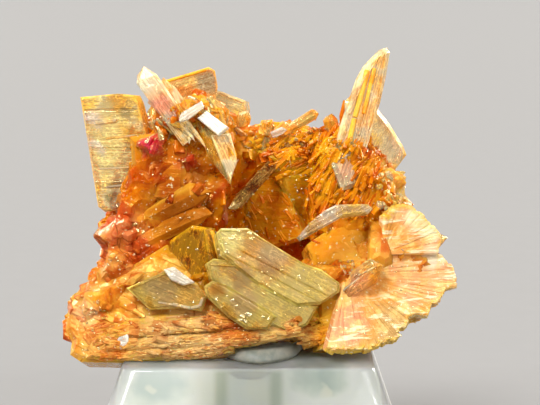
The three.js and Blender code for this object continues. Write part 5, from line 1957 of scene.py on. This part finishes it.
CRYSTALS = (
    CrystalGroup("left_plate", Tint.ICE, (LEFT_PLATE,)), CrystalGroup("back_box", Tint.HONEY, (BACK_BOX,)),
    CrystalGroup("back_prism", Tint.ICE, (BACK_PRISM,)),
    CrystalGroup("cross_blades", Tint.BLUSH, (
        Blade((-2.9, 12.2, -2.6), (-5.75, 16.15, -1.9), 1.15, 0.45, roll=8, point=0.14, pitch=0.2),
        Blade((-5.2, 14.4, -2), (-2.6, 12.2, -2.9), 0.32, 0.3, point=0.3),
        Blade((-4.6, 14.9, -2.1), (-2, 11.8, -3), 0.3, 0.3, point=0.3),
        Blade((-3.8, 14.9, -1.9), (-2.9, 12, -2.9), 0.34, 0.3, point=0.3),
        Blade((-2.4, 12.6, -0.2), (-4.6, 15.6, -0.8), 0.8, 0.4, roll=-10, point=0.2),
        Blade((-4.6, 14.6, -1.2), (-3.4, 12.4, -2.6), 0.8, 0.4, roll=30, point=0.3),
        RidgeLine(BACK_BOX, ((-4.3, 15.2), (-3.3, 13)), 0.35, rise=0.5),
    )),
    CrystalGroup("white_chips", Tint.WHITE, (
        Tablet((
            (-2.55, 13.45), (-2.05, 13.85), (-0.85, 12.95), (-1.4, 12.5),
        ), -3.3, 0.3, turn=-16, lean=24, bevel=0.05, grain=-38, pitch=0.25, relief=0.03, rim=0.05),
        Tablet((
            (-3.55, 13.45), (-3.4, 13.75), (-2.3, 14.4), (-2.15, 14.05), (-3, 13.4), (-3.5, 13.25),
        ), -3.2, 0.3, turn=10, lean=20, bevel=0.05, grain=34, pitch=0.25, relief=0.03, rim=0.05),
        Blade((1.6, 12.5, 0.2), (2.4, 12.85, 0.1), 0.4, 0.25, roll=20, point=0.3),
        Tablet((
            (-4.4, 5.05), (-3.85, 5.2), (-2.7, 4.35), (-3.3, 4.2), (-4, 4.5),
        ), -5.15, 0.25, turn=6, lean=30, bevel=0.05, grain=-30, pitch=0.2, relief=0.03),
        Tablet((
            (-7.3, 0.7), (-6.9, 1.3), (-6.4, 1.5), (-6.4, 1), (-6.8, 0.6),
        ), -5.35, 0.3, turn=-20, lean=20, bevel=0.06, pitch=0.2, relief=0.03),
    )),
    # Raised ridges along edges in a bright gold finish: partly painted glow, standing in for light that shines
    # through thin edges; on the tall blade partly its own lengthwise stripes.
    CrystalGroup("golden_edges", Tint.GOLD, (
        RidgeLine(BACK_BOX, ((-4.7, 15.35), (-1.95, 16.15)), 0.16, rise=0.05),
        RidgeLine(TALL_BLADE, ((6.95, 16.1), (6.2, 13.4), (5.8, 11.6)), 0.3, rise=0.08),
        RidgeLine(TALL_BLADE, ((7.3, 16.2), (6.7, 13.6)), 0.22),
        RidgeLine(NARROW_TABLET, ((-1.72, 7.2), (-1, 4.5)), 0.2, rise=0.08),
    )),
    # Pale raised ridges along edges: partly painted glow of light through thin edges; on the tall blade partly
    # its own pale stripes.
    CrystalGroup("bright_edges", Tint.BLUSH, (
        RidgeLine(BACK_PRISM, ((-1.3, 14.85), (0.05, 14.3)), 0.14, rise=0.07),
        RidgeLine(BACK_PRISM, ((0.1, 14.2), (0.08, 13.2)), 0.1, rise=0.05),
        RidgeLine(TALL_BLADE, ((7.95, 17.1), (7.5, 14.6), (7, 12.6), (6.7, 11.2)), 0.08),
        RidgeLine(TALL_BLADE, ((7.6, 16.9), (6.7, 15.6), (5.9, 13.6)), 0.08, rise=0.08),
        RidgeLine(TALL_BLADE, ((7.8, 17), (7.1, 15), (6.4, 12.4)), 0.07, rise=0.08),
        RidgeLine(WINDOW_TABLET, ((-4.7, 3.2), (-3.9, 3.08)), 0.1, rise=0.06),
        RidgeLine(WINDOW_TABLET, ((-3.9, 3.1), (-2.9, 2.88), (-2.4, 3), (-2.2, 3.5)), 0.16, rise=0.08),
        RidgeLine(STEP_PRISM, ((5.55, 3.85), (6.5, 4.6)), 0.09, rise=0.06),
        RidgeLine(STEP_PRISM, ((6.4, 4.7), (7.4, 5.2)), 0.08, rise=0.06),
    )),
    CrystalGroup("plate_ledges", Tint.BLUSH, (
        RidgeLine(LEFT_PLATE, ((-8.2, 13.15), (-7, 13.3)), 0.22, rise=0.05),
        RidgeLine(LEFT_PLATE, ((-8, 10.6), (-6.2, 10.7)), 0.12, rise=0.04),
        RidgeLine(LEFT_PLATE, ((-7.6, 12.3), (-5.8, 12.5)), 0.12, rise=0.04),
        RidgeLine(LEFT_PLATE, ((-7.6, 9.6), (-6, 9.8)), 0.12, rise=0.04),
    )),
    CrystalGroup("lemon_edges", Tint.LEMON, (
        RidgeLine(UPPER_BLADE, ((-1.25, 7.2), (0.3, 7.2), (1.1, 6.65)), 0.1, rise=0.05),
        RidgeLine(UPPER_BLADE, ((-1.3, 7), (-1, 5.9), (-0.5, 5.5)), 0.12, rise=0.06),
        RidgeLine(MIDDLE_BLADE, ((-1.8, 5.3), (-0.3, 5.2), (1.1, 4.3)), 0.1, rise=0.05),
        RidgeLine(MIDDLE_BLADE, ((-1.6, 5), (-1.4, 4.4), (-0.9, 3.8), (0.8, 2.5), (2.4, 1.7)), 0.12, rise=0.06),
        RidgeLine(LOWER_BLADE, ((-1.9, 3.7), (-0.8, 2.6), (0.2, 1.9)), 0.12, rise=0.06),
        RidgeLine(WINDOW_TABLET, ((-6.2, 4), (-4.3, 4.8), (-3.9, 4.85)), 0.1, rise=0.06),
    )),
    CrystalGroup("dagger_blade", Tint.HONEY, (
        Blade((-1.9, 13.7, -2), (-0.65, 9.75, -3.4), 1.5, 0.8, roll=14, point=0.4, chisel=0.05, pitch=0.22),
        Blade((-2.5, 13.2, -2.2), (-0.8, 10.1, -3.45), 0.4, 0.5, point=0.2),
    )),
    CrystalGroup("dagger_face", Tint.BLUSH, (
        Tablet((
            (-1.75, 12.5), (-0.7, 12.6), (-0.3, 11.05), (-0.7, 9.95), (-1.2, 11.1),
        ), -3.35, 0.3, turn=12, lean=20, bevel=0.06, grain=-68, pitch=0.2, relief=0.03, rim=0.06),
    )),
    CrystalGroup("brown_blade", Tint.BROWN, (
        Blade((2.6, 11.9, 0.6), (-0.7, 8.3, -3), 0.66, 0.5, roll=18, point=0.14),
    )),
    CrystalGroup("grey_blade", Tint.SMOKE, (
        Tablet((
            (3.15, 6.9), (3.8, 7.7), (4.6, 8.35), (5.2, 8.65), (6.1, 8.7), (7, 8.7), (7.25, 8.45), (7, 8.15),
            (5.6, 8), (4.7, 7.5), (3.65, 6.9), (3.3, 6.7),
        ), -3.7, 0.55, turn=22, lean=24, bevel=0.12, grain=24, pitch=0.2),
    )),
    CrystalGroup("tall_blade", Tint.BLUSH, (
        TALL_BLADE,
        Blade((6, 12.6, -0.4), (5.95, 14.7, -0.6), 0.6, 0.6, roll=30, point=0.2),
    )),
    CrystalGroup("rear_wedge", Tint.ICE, (REAR_WEDGE,)),
    CrystalGroup("olive_tablets", Tint.OLIVE, (OLIVE_TABLET, NARROW_TABLET)),
    CrystalGroup("front_blades", Tint.LEMON, (UPPER_BLADE, MIDDLE_BLADE, LOWER_BLADE)),
    CrystalGroup("step_prism", Tint.HONEY, (STEP_PRISM,)),
    CrystalGroup("window_tablet", Tint.LEMON, (WINDOW_TABLET,)),
    CrystalGroup("ridge_crystals", Tint.HONEY, (
        Blade((2.1, 12.5, 0.6), (4.15, 13.8, 0.2), 0.55, 0.6, roll=-18, point=0.1),
        Blade((-0.3, 12, 1.6), (0.15, 13.85, 1.4), 0.8, 0.7, point=0.15),
        Blade((1.2, 11.4, 1), (1.45, 13.4, 0.8), 0.75, 0.7, point=0.15),
        Blade((1.6, 12.3, 0.6), (2.45, 13.2, 0.5), 0.5, 0.4, roll=20, point=0.1),
        Blade((5.1, 12.4, 0.9), (4.75, 13.65, 0.7), 0.8, 0.7),
    )),
    CrystalGroup("column_crystals", Tint.SMALL, (
        ORANGE_BLOCK,
        Tablet((
            (-3.4, 11.6), (-1.6, 12.2), (-0.6, 10.2), (-0.9, 8.6), (-2.4, 8.4), (-3.6, 9.6),
        ), -2, 1.8, turn=18, lean=12, bevel=0.3),
        Blade((-5.8, 7.6, -1.4), (-1.9, 9.6, -3), 1.3, 1.1, roll=20, point=0.2),
        Blade((-5.6, 6.6, -1.8), (-1.8, 8.4, -2.8), 1.1, 1, roll=-16, point=0.2),
    )),
    CrystalGroup("hollow_crystals", Tint.ZONED, (
        Tablet((
            (0.1, 9.4), (1.4, 11.2), (2.5, 9.1), (3.4, 6.7), (1.05, 6), (-0.15, 7.1),
        ), 0.3, 2, turn=-22, lean=4, bevel=0.25),
        Tablet((
            (1.5, 11.3), (3.2, 11.8), (4.8, 10.2), (4.6, 8), (3.4, 6.6), (2.4, 9.2),
        ), 0.3, 2.2, turn=28, lean=-6, bevel=0.3),
        Tablet((
            (3.6, 6.5), (4.9, 7.4), (7, 8.5), (7.9, 7.4), (7.6, 5.6), (6, 4.4), (4, 5),
        ), -2, 2.2, turn=10, lean=26, bevel=0.3),
    )),
    CrystalGroup("lower_slab", Tint.ZONED, (
        LOWER_SLAB,
        Blade((3.2, 1.2, -4.35), (8.6, 2.6, -3.2), 1.3, 0.9, roll=-30, point=0.2),
        Blade((-7.4, 0.8, -5.05), (1.8, 1.35, -5.4), 0.8, 0.7, roll=-24, point=0.14),
        Blade((-5.6, 0.35, -5.2), (1.4, 1.1, -5.1), 0.5, 0.7, roll=-16, point=0.14),
        Blade((-6.8, 1.5, -4.9), (-0.4, 2.2, -5.3), 0.8, 0.6, roll=-30, point=0.16),
    )),
    CrystalGroup("foot_plate", Tint.ZONED, (
        Tablet((
            (-8.8, 0.1), (-8.4, 1.2), (-6.5, 2.2), (-4.5, 2.6), (-2.2, 2.6), (-0.2, 2.2), (3, 2.4), (3.2, 1.4),
            (1.4, 1.05), (-0.6, 0.8), (-2.4, 0.25), (-5.2, 0.05), (-6.8, -0.05),
        ), -5.3, 0.8, turn=-4, lean=20, bevel=0.2, grain=4, pitch=0.3, relief=0.08),
    )),
    CrystalGroup("fan_backing", Tint.ZONED, (
        FAN_SHEET,
        Tablet((
            (8, 5.2), (10.6, 5.6), (11.5, 4.9), (11.6, 4), (11, 3.7), (10.9, 3), (10.2, 2.8), (10, 2.2),
            (9.2, 2), (8.4, 2.2),
        ), -0.4, 1.6, turn=34, lean=16, bevel=0.25),
        UPPER_LOBE,
        Tablet((
            (7.3, 7.8), (8.2, 7.7), (8.35, 6.8), (8.6, 6), (8.5, 5.4), (7.9, 5.1), (7.2, 5.6),
        ), -2.8, 1.2, turn=20, lean=18, bevel=0.45, grain=-60, pitch=0.5, relief=0.03),
    )),
    CrystalGroup("rear_tablets", Tint.ZONED, (
        Tablet((
            (-6, 8.4), (-5.6, 12.2), (-3, 13.2), (-2, 10.4), (-3.8, 7.6),
        ), 5.3, 1.8, turn=196, lean=-8, bevel=0.3),
        Tablet((
            (-1.8, 6.4), (-1.6, 10.6), (1.2, 12.4), (2.8, 9.6), (1.4, 5.8),
        ), 5.9, 1.6, turn=176, lean=-12, bevel=0.3),
        Tablet((
            (3.4, 6), (3.2, 10.2), (5.4, 12.6), (7.4, 10), (6.4, 5.8),
        ), 5.5, 1.8, turn=158, lean=-6, bevel=0.3),
        Tablet((
            (-8.8, 1.8), (-8.6, 4.2), (-5.4, 5.8), (-3.2, 3.6), (-4.2, 1.4),
        ), 4.2, 1.8, turn=204, lean=-18, bevel=0.3),
        Tablet((
            (-3, 1.6), (-2.4, 4.8), (1.6, 5.8), (3.2, 3.4), (1.6, 1.4),
        ), 4.7, 2, turn=182, lean=-20, bevel=0.3),
        Tablet((
            (3.6, 1.8), (4.4, 5.4), (8, 6.6), (10, 4.6), (8.4, 1.8),
        ), 4.6, 1.8, turn=156, lean=-14, bevel=0.3),
    )),
    CrystalGroup("rear_blades", Tint.HONEY, (
        Blade((-3.6, 9, 4.6), (-5.2, 14.2, 4.8), 1.1, 0.6, roll=40, point=0.2),
        Blade((0.6, 8.6, 5), (2.6, 13.2, 6.6), 1.3, 0.7, roll=-30),
        Blade((3.4, 7.6, 5), (-0.8, 9.2, 7.2), 1, 0.6, roll=20),
        Blade((-1.4, 4, 4.4), (-4.8, 6.6, 6.6), 1.2, 0.8, roll=-24),
        Blade((6, 7, 4.2), (8.4, 9.6, 5.8), 1.2, 0.7, roll=30),
        Blade((-6.2, 5.4, 2), (-7.4, 7.2, 4.4), 1.1, 0.7, roll=30),
        Blade((8.6, 5.6, 2), (11.2, 7, 3.6), 1.2, 0.8, roll=-40),
    )),
)

FANS = (
    SerratedFan(
        name="serrated_fan",
        sheet=Tablet((
            (7.4, 5.6), (11, 5.9), (12, 4.2), (9.4, 2.4), (7, 0.6), (4.6, 0.7), (4.6, 3.6),
        ), -3.8, 2.2, turn=24, lean=22),
        centre=(6, 4.9),
        rim=(
            (9.4, 6.35), (11, 5.95), (11.6, 5.5), (12, 4.95), (12.05, 4.2), (11.35, 3.95), (11.2, 3.3),
            (10.6, 3.1), (10.45, 2.5), (9.9, 2.55), (9.4, 2.35), (9.3, 1.85), (8.85, 1.6), (8.7, 1.1), (8, 0.9),
            (7, 0.5), (5.6, 0.4), (4.8, 0.5),
        ),
        ribs=128, thickness=0.8, seed=21,
    ),
    SerratedFan(
        name="upper_fan",
        sheet=Tablet((
            (7.4, 6), (8.4, 8.5), (9.3, 8.65), (10.9, 7.3), (11.1, 6.7), (9.6, 5.2),
        ), -2.2, 1.9, turn=26, lean=16),
        centre=(8, 6),
        rim=((8, 8), (8.5, 8.55), (9.3, 8.7), (10.2, 8.05), (10.9, 7.35), (11.15, 6.7), (11, 6)),
        ribs=52, thickness=0.7, seed=22,
    ),
)

CRUSTS = (
    CrustGroup("orange_crust", Tint.SMALL, 31, (
        Patch((-7, 4.8), (-5.4, 7.6), 30, (0.6, 1.2), (0.4, 0.9), proud=0.1),
        Patch((-6.2, 12.4), (-0.8, 14), 34, (0.4, 1), (0.2, 0.5), proud=0.25),
        Patch((0.6, 11.2), (8, 12.7), 110, (0.4, 0.9), (0.1, 0.26), spread=0.9),
        Patch((3.6, 8.4), (7.6, 12.6), 260, (0.8, 1.9), (0.1, 0.3), Pose.LYING, (0.5, 0.2, 0.9), 0.3),
        Patch((0.8, 10.2), (3.8, 12.4), 80, (0.6, 1.4), (0.12, 0.3), Pose.LYING, (0.8, 0.2, 0.5), 0.4),
        Patch((-0.8, 6.4), (4.2, 9.2), 40, (0.5, 1), (0.12, 0.3), Pose.LYING, (0.6, 0, -0.8), 0.4),
        Patch((-9.1, 0.5), (-4.4, 4), 36, (0.5, 1.1), (0.3, 0.6), Pose.LYING, (0.8, 0, -0.4), 0.5, proud=0.15),
        Patch((-8.6, 0), (-1.2, 2), 900, (0.2, 0.8), (0.06, 0.16), Pose.LYING, (1, 0.1, 0.07), 0.4, proud=0.2),
        Patch(
            (-1.2, 0.8), (4.6, 2.4), 600, (0.2, 0.8), (0.06, 0.16), Pose.LYING, (1, 0.1, 0.07), 0.4, proud=0.2,
        ),
        Patch((-4, 1.6), (2, 2.8), 70, (0.6, 1.6), (0.08, 0.2), Pose.LYING, (1, 0.1, -0.2), 0.25, proud=0.3),
    )),
    CrustGroup("rear_crust", Tint.SMALL, 32, (
        Patch((-7.6, -0.2), (11, 13.5), 150, (0.6, 1.5), (0.4, 1), azimuth=180, proud=0.2),
        Patch(
            (-11, 0.6), (-7, 8), 60, (0.5, 1.2), (0.3, 0.8), Pose.LYING, (0, 0, 1), 0.8, azimuth=180, proud=0.2,
        ),
        Patch((1, -0.2), (8, 13.5), 60, (0.6, 1.4), (0.3, 0.8), azimuth=90, proud=0.2),
        Patch(
            (-5, 6), (1, 13), 60, (0.5, 1.2), (0.3, 0.7), Pose.LYING, (0, 0.5, 0.8), 0.6, azimuth=90, proud=0.2,
        ),
        Patch((-6, -0.2), (-1, 13.5), 60, (0.6, 1.4), (0.3, 0.8), azimuth=270, proud=0.2),
        Patch(
            (-1, 0.5), (7, 13), 80, (0.5, 1.2), (0.3, 0.7), Pose.LYING, (0, 0.5, 0.8), 0.6, azimuth=270,
            proud=0.15,
        ),
        Patch((-7.6, 2), (10, 16), 110, (0.6, 1.4), (0.3, 0.8), azimuth=180, elevation=55, proud=0.2),
        Patch((-8, 0), (10, 1.8), 160, (1, 2.6), (0.1, 0.3), Pose.LYING, (1, 0, 0), 0.15, azimuth=180),
    )),
    CrustGroup("honey_chips", Tint.HONEY, 33, (
        Patch((-5.4, 12.4), (0.2, 15), 44, (0.5, 1.4), (0.15, 0.4), Pose.LYING, (0.5, -0.2, -0.8), 0.6),
        Patch((0.2, 11.8), (7.2, 13), 36, (0.4, 0.8), (0.12, 0.4)),
        Patch((-7.6, 4), (10, 14), 50, (0.5, 1.4), (0.3, 0.7), azimuth=180, proud=0.25),
    )),
    CrustGroup("pale_chips", Tint.ICE, 34, (
        Patch((-5.2, 12.8), (-0.6, 14.6), 16, (0.3, 0.9), (0.08, 0.22), Pose.LYING, (0.5, -0.2, -0.8), 0.8),
        Patch((5.2, 4.8), (6.1, 5.6), 8, (0.4, 0.7), (0.15, 0.3)),
        Patch((7.4, 8.4), (8.6, 10.5), 22, (0.4, 0.8), (0.3, 0.5), proud=0.25),
        Patch((-9, 1.6), (-7.6, 3.4), 10, (0.15, 0.4), (0.1, 0.25)),
    )),
)

GLINTS = CrustGroup("glints", Tint.ICE, 35, tuple(
    Patch(low, high, count, length, width, Pose.GLINTING, azimuth=azimuth)
    for low, high, count, length, width, azimuth in (
        ((-9.4, 0.3), (11.4, 14.0), 150, (0.06, 0.22), (0.04, 0.12), 0),
        ((-9.4, 0.3), (11.4, 14.0), 160, (0.08, 0.24), (0.05, 0.12), 180),
        ((-5.0, 0.3), (8.0, 13.0), 90, (0.08, 0.24), (0.05, 0.12), 90),
        ((-6.0, 0.3), (7.0, 13.0), 90, (0.08, 0.24), (0.05, 0.12), 270),
        ((-0.9, 6.7), (0.9, 7.2), 16, (0.12, 0.36), (0.06, 0.16), 0),
        ((-1.4, 5.8), (-0.8, 6.8), 10, (0.12, 0.3), (0.06, 0.14), 0),
        ((-0.2, 2.2), (0.4, 2.6), 6, (0.2, 0.45), (0.1, 0.2), 0),
        ((-1.6, 2.8), (-0.4, 3.6), 10, (0.12, 0.36), (0.06, 0.14), 0),
        ((1.0, 3.6), (4.6, 5.4), 18, (0.1, 0.26), (0.05, 0.12), 0),
        ((-9.0, 2.6), (-8.0, 3.3), 9, (0.1, 0.26), (0.06, 0.14), 0),
        ((-9.4, 0.4), (-7.8, 0.9), 9, (0.1, 0.3), (0.06, 0.14), 0),
        ((-7.4, 5.5), (-6.8, 5.9), 5, (0.12, 0.3), (0.08, 0.18), 0),
        ((-6.5, 7.0), (-5.6, 7.8), 4, (0.2, 0.5), (0.12, 0.24), 0),
        ((-5.5, 12.1), (-5.1, 12.5), 4, (0.12, 0.24), (0.08, 0.14), 0),
        ((2.8, 8.4), (3.9, 10.4), 12, (0.08, 0.22), (0.05, 0.1), 0),
        ((4.6, 9.4), (6.6, 11.6), 20, (0.1, 0.26), (0.05, 0.1), 0),
    )
))

GROUND_GROUPS = (
    "lower_slab", "foot_plate", "hollow_crystals", "column_crystals", "rear_tablets", "fan_backing",
)


def main() -> None:
    """Builds the studio, the holder and the specimen."""
    logging.basicConfig(level=logging.INFO, format="%(name)s: %(message)s")
    Studio().build()
    ClearStand().build()
    TackDab().build()
    mass = BrokenMass().build()
    groups = {group.name: group.build() for group in CRYSTALS}
    fans = [fan.build() for fan in FANS]
    ground = Ground([mass, *(groups[name] for name in GROUND_GROUPS)])
    for crust in CRUSTS:
        crust.build(ground)
    GLINTS.build(Ground([mass, *groups.values(), *fans]))


if __name__ == "__main__":
    main()
